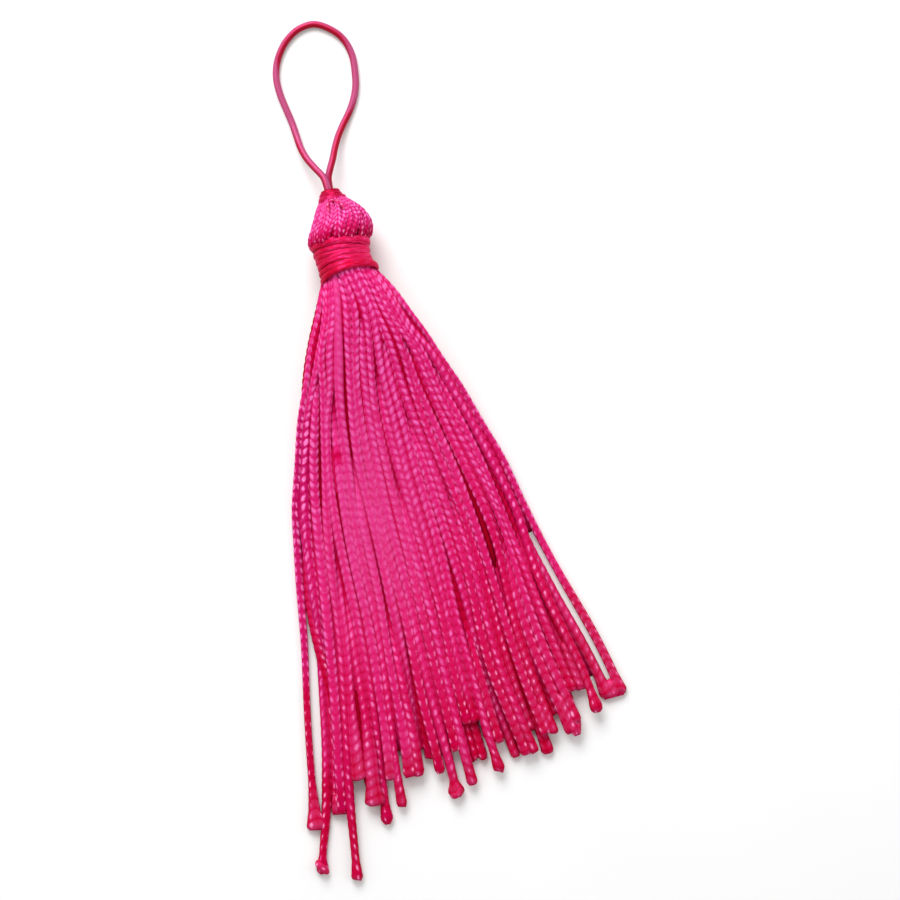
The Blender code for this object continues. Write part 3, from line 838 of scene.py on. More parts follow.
def add_knit_cord(stock, route, wide, thick, look, upward=(0.0, 0.0, 1.0)):
    """One knitted tube: stitches are rows of V-shaped legs, their points towards the end."""
    lengths = arc_lengths(route)
    side, upright = sides_of(route, upward)
    growth = look["growth"]
    stitches = math.log1p(growth * lengths[-1] / look["pitch"]) / growth
    rows = max(8, int(round(stitches * STITCH_ROWS)))
    row = np.arange(rows + 1)[:, None]
    column = np.arange(STITCH_COLUMNS * look["wales"])[None, :]
    lean = np.array(STITCH_ACROSS)[column % STITCH_COLUMNS]
    if look["lean"] < 0.0:
        lean = max(STITCH_ACROSS) - lean
    ease = np.clip(np.minimum(row, rows - row) / STITCH_ROWS, 0.0, 1.0)
    place = (row + (lean - max(STITCH_ACROSS) / 2.0) * STITCH_ROWS * ease) / rows * stitches
    along = np.expm1(growth * place) / math.expm1(growth * stitches) * lengths[-1]
    along = np.clip(along, 0.0, lengths[-1])
    ridge = np.array(STITCH_RIDGE)[row % STITCH_ROWS]
    height = ridge * np.array(STITCH_SWELL)[column % STITCH_COLUMNS]
    angle = 2.0 * math.pi * column / column.shape[1] + look["turn"]
    angle = angle + look["twist"] * along
    slope = 0.5 + 0.5 * np.cos(angle - look["slant_turn"])
    along = along - look["slant"] * slope * np.clip(row / rows * 3.0 - 2.0, 0.0, 1.0)

    def read(values):
        return np.interp(along, lengths, np.broadcast_to(values, lengths.shape))

    relief = read(look["relief"])
    reach = 1.0 - relief + relief * height
    across = (np.cos(angle) * reach * read(wide))[..., None]
    out = (np.sin(angle) * reach * read(thick))[..., None]
    points = sample(along, lengths, route) + sample(along, lengths, side) * across
    points = points + sample(along, lengths, upright) * out
    u = np.broadcast_to(column / STITCH_COLUMNS, height.shape)
    v = np.broadcast_to(row / STITCH_ROWS, height.shape)
    # Painted light level: the stitch's height, with painted shade on the flanks and on cords that lie deep.
    shut, fade = read(look["shut"]), read(look["fade"])
    flank = shut + (1.0 - shut) * past(np.sin(angle), 0.10, 0.55)
    level = 0.62 + (height - 0.62) * (0.2 + 0.8 * fade)
    level = level * flank * (1.0 - 0.85 * read(look["deep"]))
    stock.add_grid(points, u, v, np.maximum(level, 0.0), read(look["tone"]), fade)


def add_plain_cord(stock, route, wide, thick, sides, tone, level=None, upward=(0.0, 0.0, 1.0)):
    """One smooth tube with the given number of sides, painted lighter on top, or evenly if level is given.
    """
    side, upright = sides_of(route, upward)
    angle = 2.0 * math.pi * np.arange(sides)[None, :] / sides
    across = (np.cos(angle) * wide[:, None])[..., None]
    out = (np.sin(angle) * thick[:, None])[..., None]
    points = route[:, None, :] + side[:, None, :] * across + upright[:, None, :] * out
    u = np.broadcast_to(np.arange(sides)[None, :] / sides, points.shape[:2])
    v = np.broadcast_to(arc_lengths(route)[:, None], points.shape[:2])
    shade = 0.5 + 0.5 * np.sin(angle) if level is None else level
    stock.add_grid(points, u, v, shade, tone, 0.7)


# ---------------------------------------------------------------------------
# Materials
# ---------------------------------------------------------------------------


def new_material(name):
    """Empty node material with its shader and output."""
    material = bpy.data.materials.new(name)
    material.use_nodes = True
    nodes = material.node_tree.nodes
    nodes.clear()
    output = nodes.new("ShaderNodeOutputMaterial")
    shader = nodes.new("ShaderNodeBsdfPrincipled")
    material.node_tree.links.new(shader.outputs["BSDF"], output.inputs["Surface"])
    return material, material.node_tree, shader


def fill(made, values):
    """Set plain values on a node's inputs."""
    for name, value in values.items():
        made.inputs[name].default_value = value


def node(tree, kind, vector=None, inputs=None, **settings):
    """New node with its settings, the plain values of its inputs and the vector it reads."""
    made = tree.nodes.new(kind)
    for key, value in settings.items():
        setattr(made, key, value)
    fill(made, inputs or {})
    if vector is not None:
        tree.links.new(vector, made.inputs["Vector"])
    return made


def colour_ramp(tree, source, stops):
    """Colour of a value, from the given places and colours."""
    ramp = tree.nodes.new("ShaderNodeValToRGB")
    elements = ramp.color_ramp.elements
    while len(elements) < len(stops):
        elements.new(0.5)
    for element, (place, colour) in zip(elements, stops):
        element.position = place
        element.color = (*colour, 1.0)
    tree.links.new(source, ramp.inputs["Fac"])
    return ramp.outputs["Color"]


def read_attribute(tree, name):
    """One of the values kept on a mesh."""
    return node(tree, "ShaderNodeAttribute", attribute_name=name).outputs["Fac"]


def stitch_map(tree):
    """Place along and round a cord, counted in stitches or turns."""
    return node(tree, "ShaderNodeUVMap", uv_map="stitches").outputs["UV"]


def stretched(tree, vector, scale, turn=0.0):
    """A vector stretched and turned."""
    inputs = {"Scale": scale, "Rotation": (0.0, 0.0, turn)}
    return node(tree, "ShaderNodeMapping", vector, inputs).outputs["Vector"]


def embossed(tree, shader, height, strength, distance):
    """Raise the shader's surface by a height."""
    bump = node(tree, "ShaderNodeBump", inputs={"Strength": strength, "Distance": distance})
    tree.links.new(height, bump.inputs["Height"])
    tree.links.new(bump.outputs["Normal"], shader.inputs["Normal"])


def ranged(tree, source, low, high, start, end, smoothed=False):
    """Value of source taken from one range to another."""
    made = node(
        tree,
        "ShaderNodeMapRange",
        interpolation_type="SMOOTHSTEP" if smoothed else "LINEAR",
        inputs={"From Min": low, "From Max": high, "To Min": start, "To Max": end},
    )
    tree.links.new(source, made.inputs["Value"])
    return made.outputs["Result"]


def maths(tree, operation, first, second=None):
    """Result of a calculation on one or two values."""
    made = node(tree, "ShaderNodeMath", operation=operation)
    for socket, value in zip(made.inputs, (first, second)):
        if isinstance(value, float):
            socket.default_value = value
        elif value is not None:
            tree.links.new(value, socket)
    return made.outputs["Value"]


def vectors(tree, operation, first, second=None):
    """Result of a calculation on one or two vectors."""
    made = node(tree, "ShaderNodeVectorMath", operation=operation)
    tree.links.new(first, made.inputs[0])
    if second is not None:
        made.inputs[1].default_value = second
    return made.outputs["Value" if operation == "LENGTH" else "Vector"]


def tinted(tree, kind, factor, first, second):
    """Mix of two colours; each is a plain colour or another node's colour."""
    made = node(tree, "ShaderNodeMix", data_type="RGBA", blend_type=kind)
    for name, value in (("Factor", factor), ("A", first), ("B", second)):
        if isinstance(value, tuple):
            made.inputs[name].default_value = (*value, 1.0)
        else:
            tree.links.new(value, made.inputs[name])
    return made.outputs["Result"]


def noise(tree, vector, **inputs):
    """Noise value over a vector."""
    return node(tree, "ShaderNodeTexNoise", vector, inputs).outputs["Fac"]


def waves(tree, vector, direction, inputs):
    """Value of even waves over a vector."""
    made = node(tree, "ShaderNodeTexWave", vector, inputs, bands_direction=direction)
    return made.outputs["Fac"]


def paled(colours, strength):
    """Colours at a share of their strength."""
    return [tuple(strength * part for part in colour) for colour in colours]


def silk_colours(settings, strength):
    """Colours of the stitches' crest (painted highlight), body, groove and valley (painted shade) at a share
    of their strength.
    """
    colours = settings.crest_colour, settings.body_colour, settings.groove_colour
    return paled((*colours, settings.valley_colour), strength)


def silk_ground(tree, place, height, tone, hem, ground):
    """Colour of the silk below the bead highlights: painted shade by its light level, darkened by tone and
    at the hem, dyed in patches.
    """
    body, groove_colour, valley = ground
    # Painted shade: the lower the painted light level, the darker the colour, from body through groove to
    # valley.
    dark = tuple(0.75 * part for part in valley)
    stops = ((0.02, dark), (0.12, valley), (0.27, groove_colour), (0.44, body))
    colour = colour_ramp(tree, height, stops)
    # Painted shade: darker by the strand's tone, which is partly its own random tone, and more so at the
    # hem.
    colour = tinted(tree, "MULTIPLY", tone, colour, SILK_DYE_AND_SHADE)
    colour = tinted(tree, "MULTIPLY", hem, colour, HEM_DYE_AND_SHADE)
    patches = ranged(tree, noise(tree, place, Scale=240.0, Detail=2.0), 0.35, 0.7, 0.0, 0.40)
    return tinted(tree, "MULTIPLY", patches, colour, PATCH_DYE)


def silk_bead_highlight(tree, leg, place, height, tone, relief):
    """How far a point lies on the painted highlight, a bright bead, of its stitch's leg, from 0 to 1."""
    slim = maths(tree, "ADD", maths(tree, "MULTIPLY", tone, 2.0), 1.8)
    oval = node(tree, "ShaderNodeCombineXYZ")
    tree.links.new(maths(tree, "MULTIPLY", leg.outputs["X"], slim), oval.inputs["X"])
    tree.links.new(maths(tree, "MULTIPLY", leg.outputs["Y"], 2.1), oval.inputs["Y"])
    bead = vectors(tree, "LENGTH", oval.outputs["Vector"])
    bead = maths(tree, "ADD", bead, maths(tree, "MULTIPLY", tone, 0.35))
    uneven = ranged(tree, noise(tree, place, Scale=1100.0, Detail=2.0), 0.30, 0.70, 0.55, -0.35)
    bead = ranged(tree, maths(tree, "ADD", bead, uneven), 1.25, 0.15, 0.0, 1.0, True)
    bead = maths(tree, "MINIMUM", maths(tree, "MULTIPLY", bead, relief), 1.0)
    bead = maths(tree, "ADD", bead, ranged(tree, relief, 0.2, 1.0, 0.35, 0.0))
    return maths(tree, "MULTIPLY", bead, ranged(tree, height, 0.35, 0.80, 0.0, 1.0, True))


def knitted_silk(name, settings, strength=1.0, lights=(1.0, 1.0, 1.0)):
    """Knitted silk cord: pink legs with painted highlights, painted crimson shade between them, fine
    filaments along each leg.
    """
    material, tree, shader = new_material(name)
    link = tree.links.new
    # Painted light level, darkening by tone and painted stitch contrast, as kept on the mesh.
    labels = ("painted_light_level", "strand_tone", "stitch_relief")
    height, tone, relief = (read_attribute(tree, label) for label in labels)
    place = node(tree, "ShaderNodeTexCoord").outputs["Object"]
    uv = stitch_map(tree)
    within = vectors(tree, "FRACTION", vectors(tree, "MULTIPLY", uv, (2.0, 1.0, 0.0)))
    leg = node(tree, "ShaderNodeSeparateXYZ", vectors(tree, "SUBTRACT", within, (0.5, 0.5, 0.0)))
    from_crest = maths(tree, "ABSOLUTE", leg.outputs["Y"])
    # Painted shade: thin dark grooves between the rows of stitches.
    groove = ranged(tree, from_crest, 0.36, 0.49, 0.0, 0.60, True)
    groove = maths(tree, "MULTIPLY", groove, relief)
    crest, *ground = silk_colours(settings, strength)
    crest = tuple(light * part for light, part in zip(lights, crest))
    hem = ranged(tree, tone, 0.60, 1.0, 0.0, 1.0)
    colour = silk_ground(tree, place, height, tone, hem, ground)
    bead = silk_bead_highlight(tree, leg, place, height, tone, relief)
    # Painted shade on the body and painted highlights on the beads of the edge strands.
    edged = ranged(tree, relief, 0.95, 1.35, 0.0, 1.0)
    colour = tinted(tree, "MIX", maths(tree, "MULTIPLY", edged, 0.7), colour, EDGED_BODY_SHADE)
    # Painted highlight: the crest colour on each stitch's bead.
    colour = tinted(tree, "MIX", bead, colour, crest)
    spark = maths(tree, "MULTIPLY", edged, ranged(tree, bead, 0.5, 0.9, 0.0, 0.8))
    colour = tinted(tree, "MIX", spark, colour, EDGED_SPARK)
    # Painted glints on the beads near the hem.
    glint = maths(tree, "MULTIPLY", ranged(tree, bead, 0.42, 0.70, 0.0, 1.0), hem)
    colour = tinted(tree, "MIX", glint, colour, tuple(settings.glint_colour))
    mottle = ranged(tree, noise(tree, place, Scale=1900.0, Detail=2.0), 0.42, 0.70, 0.0, 0.42)
    mottle = maths(tree, "MULTIPLY", mottle, ranged(tree, height, 0.30, 0.50, 0.0, 1.0))
    colour = tinted(tree, "MIX", mottle, colour, ground[1])
    # Painted shade in the grooves.
    colour = tinted(tree, "MIX", maths(tree, "MULTIPLY", groove, height), colour, ground[1])
    link(colour, shader.inputs["Base Color"])
    fine = {"Scale": 0.32, "Distortion": 1.2, "Detail": 1.0, "Detail Scale": 1.5}
    filaments = waves(tree, stretched(tree, uv, (1.0, 5.0, 1.0)), "Y", fine)
    cut = maths(tree, "SUBTRACT", maths(tree, "MULTIPLY", filaments, 0.3), groove)
    embossed(tree, shader, cut, 0.6, 0.00008)
    link(ranged(tree, height, 0.0, 1.0, 0.62, 0.40), shader.inputs["Roughness"])
    gloss = {"Metallic": 0.12, "Specular IOR Level": 0.05, "Specular Tint": SILK_SHEEN}
    fill(shader, gloss)
    return material


def wound_thread(name, settings, strength=1.0):
    """Glossy thread laid in close turns: streaks, partly painted sheen, run along each turn; painted shade
    on edges and stretches.
    """
    material, tree, shader = new_material(name)
    along = stretched(tree, stitch_map(tree), (9.0, 0.25, 1.0))
    streaks = noise(tree, along, Scale=3.0, Detail=3.0, Roughness=0.6)
    # Streaks along the thread, the light ones partly painted sheen.
    colours = settings.shade_colour, settings.thread_colour, settings.light_colour
    colour = colour_ramp(tree, streaks, tuple(zip((0.32, 0.52, 0.72), paled(colours, strength))))
    # Painted shade at the edges of each turn.
    edge = ranged(tree, read_attribute(tree, "painted_light_level"), 0.05, 0.75, 0.9, 0.0)
    colour = tinted(tree, "MULTIPLY", edge, colour, THREAD_EDGE_SHADE)
    # Darker stretches: painted shade on the neck thread's left side and lower turns; on the crown, darker
    # towards the top.
    dyed = ranged(tree, read_attribute(tree, "strand_tone"), 0.3, 1.0, 0.0, 0.9)
    colour = tinted(tree, "MULTIPLY", dyed, colour, THREAD_DARKENING)
    tree.links.new(colour, shader.inputs["Base Color"])
    embossed(tree, shader, streaks, 0.4, 0.00005)
    fill(shader, {"Metallic": 0.45, "Roughness": 0.40})
    fill(shader, {"Specular IOR Level": 0.08, "Specular Tint": THREAD_SHEEN})
    return material


def satin_cord(name, settings):
    """Satin cord: a smooth woven sheath with fine slanted ribs, painted shade on its flanks and dark
    stretches.
    """
    material, tree, shader = new_material(name)
    slanted = stretched(tree, stitch_map(tree), (1.0, 1.0, 1.0), math.radians(20.0))
    close = {"Scale": 4.0, "Distortion": 1.0, "Detail": 2.0, "Detail Scale": 2.0}
    ribs = waves(tree, slanted, "X", close)
    # Rib tops lighter and grooves darker: the weave's pattern, partly painted highlight and shade.
    colours = settings.shade_colour, settings.cord_colour, settings.light_colour
    colour = colour_ramp(tree, ribs, tuple(zip((0.0, 0.6, 1.0), colours)))
    # Painted shade on the flanks and along the dark stretches.
    flank = ranged(tree, read_attribute(tree, "painted_light_level"), 0.55, 0.97, 1.0, 0.0)
    colour = tinted(tree, "MULTIPLY", flank, colour, LOOP_FLANK_SHADE)
    tone = read_attribute(tree, "strand_tone")
    colour = tinted(tree, "MULTIPLY", tone, colour, LOOP_STRETCH_SHADE)
    tree.links.new(colour, shader.inputs["Base Color"])
    embossed(tree, shader, ribs, 0.25, 0.00004)
    fill(shader, {"Metallic": 0.3, "Roughness": 0.40})
    fill(shader, {"Specular IOR Level": 0.3, "Specular Tint": LOOP_SHEEN})
    return material


def pale_surface(name, colour):
    """Matt pale surface with a faint unevenness."""
    material, tree, shader = new_material(name)
    place = node(tree, "ShaderNodeTexCoord").outputs["Object"]
    grain = noise(tree, place, Scale=35.0, Detail=2.0)
    stops = ((0.3, tuple(0.985 * part for part in colour)), (0.7, colour))
    tree.links.new(colour_ramp(tree, grain, stops), shader.inputs["Base Color"])
    fill(shader, {"Roughness": 0.9, "Specular IOR Level": 0.1})
    return material


# ---------------------------------------------------------------------------
# Settings
# ---------------------------------------------------------------------------


def length_setting(name, description, default):
    """A length that a user may change."""
    return FloatProperty(
        name=name, description=description, default=default, unit="LENGTH", precision=5
    )


def colour_setting(name, description, default):
    """A colour that a user may change."""
    return FloatVectorProperty(name=name, description=description, default=default, subtype="COLOR")


def share_setting(name, description, default, least, most):
    """A share that a user may change."""
    return FloatProperty(
        name=name, description=description, default=default, min=least, max=most, subtype="FACTOR"
    )


def count_setting(name, description, default, least, most):
    """A number of like things that a user may change."""
    return IntProperty(name=name, description=description, default=default, min=least, max=most)


def power_setting(name, description, default):
    """A light's power that a user may change."""
    return FloatProperty(name=name, description=description, default=default, min=0.0, unit="POWER")


class TasselKnitSettings(PropertyGroup):
    """Sizes and colours of the knitted cords."""

    cord_width: length_setting("Cord width", "Width of one knitted cord over its stitches", 0.00136)
    stitch_pitch: length_setting("Stitch pitch", "Length of one stitch along the cord", 0.00114)
    stitch_relief: share_setting(
        "Stitch relief", "Depth between stitches as a share of the cord's radius", 0.24, 0.0, 0.6
    )
    under_width: share_setting(
        "Under strands", "Width of the under layer's strands against the over layer's", 1.36, 1.0, 1.6
    )
    wales: count_setting("Wales", "Columns of stitches round one cord", 2, 2, 5)
    # The crest colour is a painted highlight on top of the stitches.
    crest_colour: colour_setting("Crest colour", "Colour on top of the stitches", (0.83, 0.145, 0.465))
    # The glint colour is painted glints near the hem.
    glint_colour: colour_setting(
        "Glint colour", "Colour of the bright flecks near the hem", (1.0, 0.31, 0.52)
    )
    body_colour: colour_setting(
        "Body colour", "Colour on the flanks of the stitches", (0.70, 0.028, 0.225)
    )
    # The groove and valley colours are painted shade: between the stitches, between the cords and deep down.
    groove_colour: colour_setting("Groove colour", "Colour between the stitches", (0.62, 0.003, 0.095))
    valley_colour: colour_setting(
        "Valley colour", "Colour between the cords and deep down", (0.46, 0.0, 0.028)
    )


class TasselHeadSettings(PropertyGroup):
    """Sizes of the head of doubled cords."""

    folds: count_setting("Folds", "Doubled cords side by side round the head", 28, 12, 36)
    fold_overlap: share_setting(
        "Fold overlap", "Width of a fold as a share of the room it has", 1.22, 1.0, 1.6
    )
    fold_depth: length_setting("Fold depth", "Half thickness of a fold", 0.00055)
    stitch_share: share_setting(
        "Stitch share", "Stitch pitch on the head as a share of the skirt's", 0.66, 0.5, 1.2
    )
    swirl: FloatProperty(
        name="Swirl",
        description="How far a fold turns round the head from crown to neck",
        default=math.radians(14.0),
        subtype="ANGLE",
    )


class TasselBindingSettings(PropertyGroup):
    """Sizes and colours of the wound bindings."""

    neck_turns: count_setting("Neck turns", "Turns of thread wound round the neck", 7, 3, 20)
    crown_turns: count_setting("Crown turns", "Turns of thread wound round the crown", 2, 2, 8)
    thread_depth: length_setting("Thread depth", "Half thickness of the wound thread", 0.00026)
    thread_colour: colour_setting(
        "Thread colour", "Main colour of the wound thread", (0.66, 0.007, 0.080)
    )
    # The light streaks are partly a painted sheen.
    light_colour: colour_setting(
        "Light streaks", "Colour of the light streaks along the thread", (0.88, 0.085, 0.33)
    )
    shade_colour: colour_setting(
        "Dark streaks", "Colour of the dark streaks along the thread", (0.52, 0.0005, 0.022)
    )


class TasselLoopSettings(PropertyGroup):
    """Size and colours of the hanging loop."""

    cord_width: length_setting("Cord width", "Diameter of the loop's satin cord", LOOP_DIAMETER * MM)
    cord_colour: colour_setting("Cord colour", "Main colour of the satin cord", (0.42, 0.055, 0.170))
    # Light rib tops and dark ribs: the weave's pattern, partly painted highlight and shade.
    light_colour: colour_setting("Light ribs", "Colour of the ribs' tops", (0.57, 0.150, 0.33))
    shade_colour: colour_setting("Dark ribs", "Colour between the ribs", (0.36, 0.010, 0.050))


class TasselStageSettings(PropertyGroup):
    """The surface, the lights and the camera."""

    floor_colour: colour_setting(
        "Floor colour", "Colour of the surface the tassel lies on", (0.90, 0.90, 0.90)
    )
    key_power: power_setting("Key light", "Power of the large light above the loop's end", 1.60)
    side_power: power_setting("Side lights", "Power of each of the two lights beside the tassel", 0.16)
    sky_strength: FloatProperty(
        name="Sky strength",
        description="Strength of the even light from all round",
        default=0.55,
        min=0.0,
    )


# ---------------------------------------------------------------------------
# Pieces
# ---------------------------------------------------------------------------


def dress(piece, node_name):
    """Make a piece ride on the tassel in place of its solid."""
    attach(piece, "root")
    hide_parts(node_name)


# The dressed strands: levels down, rows of across, height and room for each, and the partings
Dressed = namedtuple("Dressed", "downs across height room gaps")


def spread_at(across, down):
    """Place across the skirt after the dressed skirt's spread."""
    downs, left, right = zip(*SPREAD)
    ratio = np.where(across < 0.0, np.interp(down, downs, left), np.interp(down, downs, right))
    return across * ratio


def rounded(values, rounding=ROUNDING):
    """Values along a strand with their corners eased."""
    reach = int(3.0 * rounding / STEP_DOWN)
    weights = np.exp(-0.5 * (np.arange(-reach, reach + 1) * STEP_DOWN / rounding) ** 2)
    weights /= weights.sum()
    before = 2.0 * values[0] - values[reach:0:-1]
    after = 2.0 * values[-1] - values[-2 : -reach - 2 : -1]
    return np.convolve(np.concatenate((before, values, after)), weights, "valid")


def sheet_profile(level, left, right):
    """Points over the sheet from edge to edge at one level: across, height, arc length."""
    downs, *columns = zip(*SHEET)
    edge, middle, power = (np.interp(level, downs, column) for column in columns)
    turn = np.linspace(-1.0, 1.0, PROFILE_POINTS)
    place = np.sin(turn * math.pi / 2.0)
    across = left + (right - left) * (place + 1.0) / 2.0
    height = edge + (middle - edge) * (1.0 - np.abs(place) ** power) ** (1.0 / power)
    arc = np.concatenate(([0.0], np.cumsum(np.hypot(np.diff(across), np.diff(height)))))
    return across, height, arc


def surfaced(index, downs):
    """How far a strand of the over layer has come up into the sheet, from 0 to 1."""
    start = SURFACING.get(index, -99.0)
    return smooth((downs - start) / SURFACING_FADE + 0.5)


def share_out(weights):
    """Places from 0 to 1 that give each strand room by its weight."""
    steps = 0.5 * (weights[1:] + weights[:-1])
    places = np.concatenate(([0.0], np.cumsum(steps)))
    return places / places[-1]


def lay_sheet(across, downs, over):
    """Lay the over layer's strands side by side over the sheet."""
    tips = np.array([strand["down"] for strand in STRANDS])[over]
    weights = np.array([surfaced(index, downs) for index in over])
    first, last = (over.index(index) for index in BODY_ENDS)
    laid = across[over].copy()
    for level, down in enumerate(downs):
        place, _, arc = sheet_profile(down, laid[0, level], laid[-1, level])
        whole = np.interp(share_out(weights[:, level]) * arc[-1], arc, place)
        body = laid[:, level].copy()
        ends = np.interp(body[[first, last]], place, arc)
        inner = ends[0] + share_out(weights[first : last + 1, level]) * (ends[1] - ends[0])
        body[first : last + 1] = np.interp(inner, arc, place)
        blend = past(down, BODY_FROM[0], BODY_FROM[1] - BODY_FROM[0])
        even = whole + blend * (body - whole)
        back = tips - down
        hem = smooth((HEM_REACH[0] - back) / (HEM_REACH[0] - HEM_REACH[1]))
        laid[:, level] = even + hem * (laid[:, level] - even)
    return laid, weights


def open_partings(laid, weights, downs, over):
    """Draw the sheet apart along each parting and bring its neighbours along."""
    partings, gaps = [], []
    for left, line in PARTINGS:
        place, depth, opening = np.array(line).T
        end = np.argmin(np.abs(downs - depth[-1]))
        row = over.index(left)
        right = next(r for r in range(row + 1, len(over)) if weights[r, end] > 0.4)
        fade = smooth((downs - depth[0] + PARTING_FADE) / PARTING_FADE) * smooth(
            (depth[-1] + PARTING_FADE - downs) / PARTING_FADE
        )
        opening = np.interp(downs, depth, opening)
        partings.append((row, right, fade, opening, np.interp(downs, depth, place)))
        gaps.append((left, over[right], depth[0] - 2.0, depth[-1] + 2.0))
    for level in range(len(downs)):
        row = laid[:, level].copy()
        moves = {0: 0.0, len(row) - 1: 0.0}
        for left, right, fade, opening, middle in partings:
            if fade[level] > 0.0:
                miss = middle[level] - 0.5 * (row[left] + row[right])
                moves[left] = fade[level] * (miss - 0.5 * opening[level])
                moves[right] = fade[level] * (miss + 0.5 * opening[level])
        held = sorted(moves)
        laid[:, level] = row + np.interp(row, row[held], [moves[index] for index in held])
    return laid, gaps


def draw_locks_together(across, downs):
    """Draw the strands of one lock together towards their tips."""
    tips = np.array([strand["down"] for strand in STRANDS])
    layers = [strand["layer"] for strand in STRANDS]
    drawn = across.copy()
    for index in range(len(STRANDS)):
        mates = [
            other
            for other in range(len(STRANDS))
            if tips[other] == tips[index]
            and layers[other] == layers[index]
            and abs(across[other, -1] - across[index, -1]) < 3.0 * STRAND_SPACING
        ]
        centre = across[mates].mean(axis=0)
        pull = LOCK_PULL * past(downs, tips[index] - 16.0, 14.0)
        drawn[index] += (centre - across[index]) * pull
    return drawn


def dressed_skirt():
    """Places of the dressed strands at close levels, and the partings between them."""
    downs = np.arange(TOP_LEVEL, STATIONS[-1], STEP_DOWN)
    roots = np.array([strand["root"] for strand in STRANDS])
    knots = (TOP_LEVEL, 0.5, -ROOT_DEPTH, *STATIONS)
    hold = (0.80, 0.92, 1.0)
    root_places = [[on_axis(x * h, -d, z * h) for x, z in roots] for d, h in zip(knots, hold)]
    coarse = [[[place.x for place in row], [place.z for place in row]] for row in root_places]
    coarse = np.concatenate((coarse, REST_PLACES))
    fine_across, fine_height = (
        np.array([np.interp(downs, knots, column) for column in coarse[:, axis].T])
        for axis in (0, 1)
    )
    fine_across = np.array([rounded(row) for row in spread_at(fine_across, downs)])
    fine_height = np.array([rounded(row) for row in fine_height])
    over = over_layer()
    laid, weights = lay_sheet(fine_across, downs, over)
    laid, gaps = open_partings(laid, weights, downs, over)
    flowing = np.array([rounded(row, FLOW_ROUNDING) for row in laid])
    fine_across[over] = laid + past(downs, 10.0, 14.0) * (flowing - laid)
    for index, way in STRAYS.items():
        depth, place = np.array(way).T
        blend = past(downs, depth[0] - 8.0, 8.0)
        wanted = rounded(np.interp(downs, depth, place))
        fine_across[index] += blend * (wanted - fine_across[index])
    fine_across = draw_locks_together(fine_across, downs)
    for index, lean in ASIDE.items():
        fine_across[index] += np.interp(downs, *zip(*lean))
    fine_across = np.array([rounded(row) for row in fine_across])
    for level, down in enumerate(downs):
        edges = fine_across[over[0], level], fine_across[over[-1], level]
        place, rise, _ = sheet_profile(down, *edges)
        lying = np.interp(fine_across[over, level], place, rise)
        lying -= SINK * (1.0 - weights[:, level])
        settled = past(down, 42.0, 8.0)
        low = np.minimum(fine_height[over, level], lying + 0.15)
        fine_height[over, level] = lying + settled * (low - lying)
    fine_height[over] = np.array([rounded(row) for row in fine_height[over]])
    room = room_beside(fine_across, fine_height, over, weights)
    return Dressed(downs, fine_across, fine_height, room, gaps)


def room_beside(across, height, over, weights):
    """Distance from each strand of the sheet to its nearest neighbour in the sheet."""
    room = np.full(across.shape, ROOM_ALONE)
    tips = np.array([strand["down"] for strand in STRANDS])
    downs = TOP_LEVEL + STEP_DOWN * np.arange(across.shape[1])
    for index in over:
        for weight, other in zip(weights, over):
            if other != index:
                gap = np.hypot(across[other] - across[index], height[other] - height[index])
                present = (weight > 0.5) & (tips[other] > downs - 1.0)
                room[index] = np.minimum(room[index], np.where(present, gap, ROOM_ALONE))
    return room


def strand_route(index, dressed):
    """Smooth centre line of one strand, from inside the neck binding to its tip."""
    downs, across, height = dressed[:3]
    tip = STRANDS[index]["down"] - TRIMMED.get(index, 0.0)
    along = np.append(downs[downs < tip - 0.3], tip)
    ripple = 0.08 * np.sin(along / (3.1 + 1.7 * chance(index, 15)) + 6.0 * chance(index, 16))
    ripple *= past(along, 4.0, 8.0)
    lift = STRAND_LIFT + 0.5 * np.abs(ripple)
    return np.stack(
        (
            np.interp(along, downs, across[index]) + ripple,
            -along,
            np.interp(along, downs, height[index]) + lift,
        ),
        axis=1,
    )


def seams(dressed):
    """Where two strands of the sheet lie side by side: both strands, first and last level."""
    downs, across = dressed.downs, dressed.across
    over = over_layer()
    up = np.array([surfaced(index, downs) for index in over]) > 0.6
    found = []
    for row, left in enumerate(over):
        for next_row in range(row + 1, min(row + 6, len(over))):
            right = over[next_row]
            tip = min(STRANDS[left]["down"], STRANDS[right]["down"])
            beside = up[row] & up[next_row] & ~up[row + 1 : next_row].any(axis=0)
            beside &= across[right] - across[left] < SEAM_REACH
            beside &= (downs > 0.5) & (downs < tip - 2.0)
            edges = np.flatnonzero(np.diff(np.concatenate(([0], beside.astype(int), [0]))))
            for first, last in edges.reshape(-1, 2):
                if last - first > 8:
                    found.append((left, right, first, last))
    return found


def add_seam(stock, seam, dressed):
    """Filling under one seam of the sheet, so that it stays shallow; it is coloured in painted shade."""
    left, right, first, last = seam
    downs, across, height = (values[..., first:last:2] for values in dressed[:3])
    gap = across[right] - across[left]
    middle = 0.5 * (across[left] + across[right])
    ends = np.minimum(downs - downs[0], downs[-1] - downs)
    drop = np.clip((gap - SEAM_DROP[0]) * SEAM_DROP[1], 0.0, 0.8) + 0.4 * (1.0 - smooth(ends / 2.0))
    half = SEAM_HALF * gap
    level = np.minimum(height[left], height[right]) + STRAND_LIFT + SEAM_RISE - drop - half
    # Painted shade: a low light level, lighter further down.
    shade = (SEAM_SHADE[0] + SEAM_SHADE[1] * past(downs, 16.0, 14.0))[:, None]
    route = np.stack((middle, -downs, level), axis=1)
    add_plain_cord(stock, route, half, half, SEAM_SIDES, SEAM_TONE, shade)


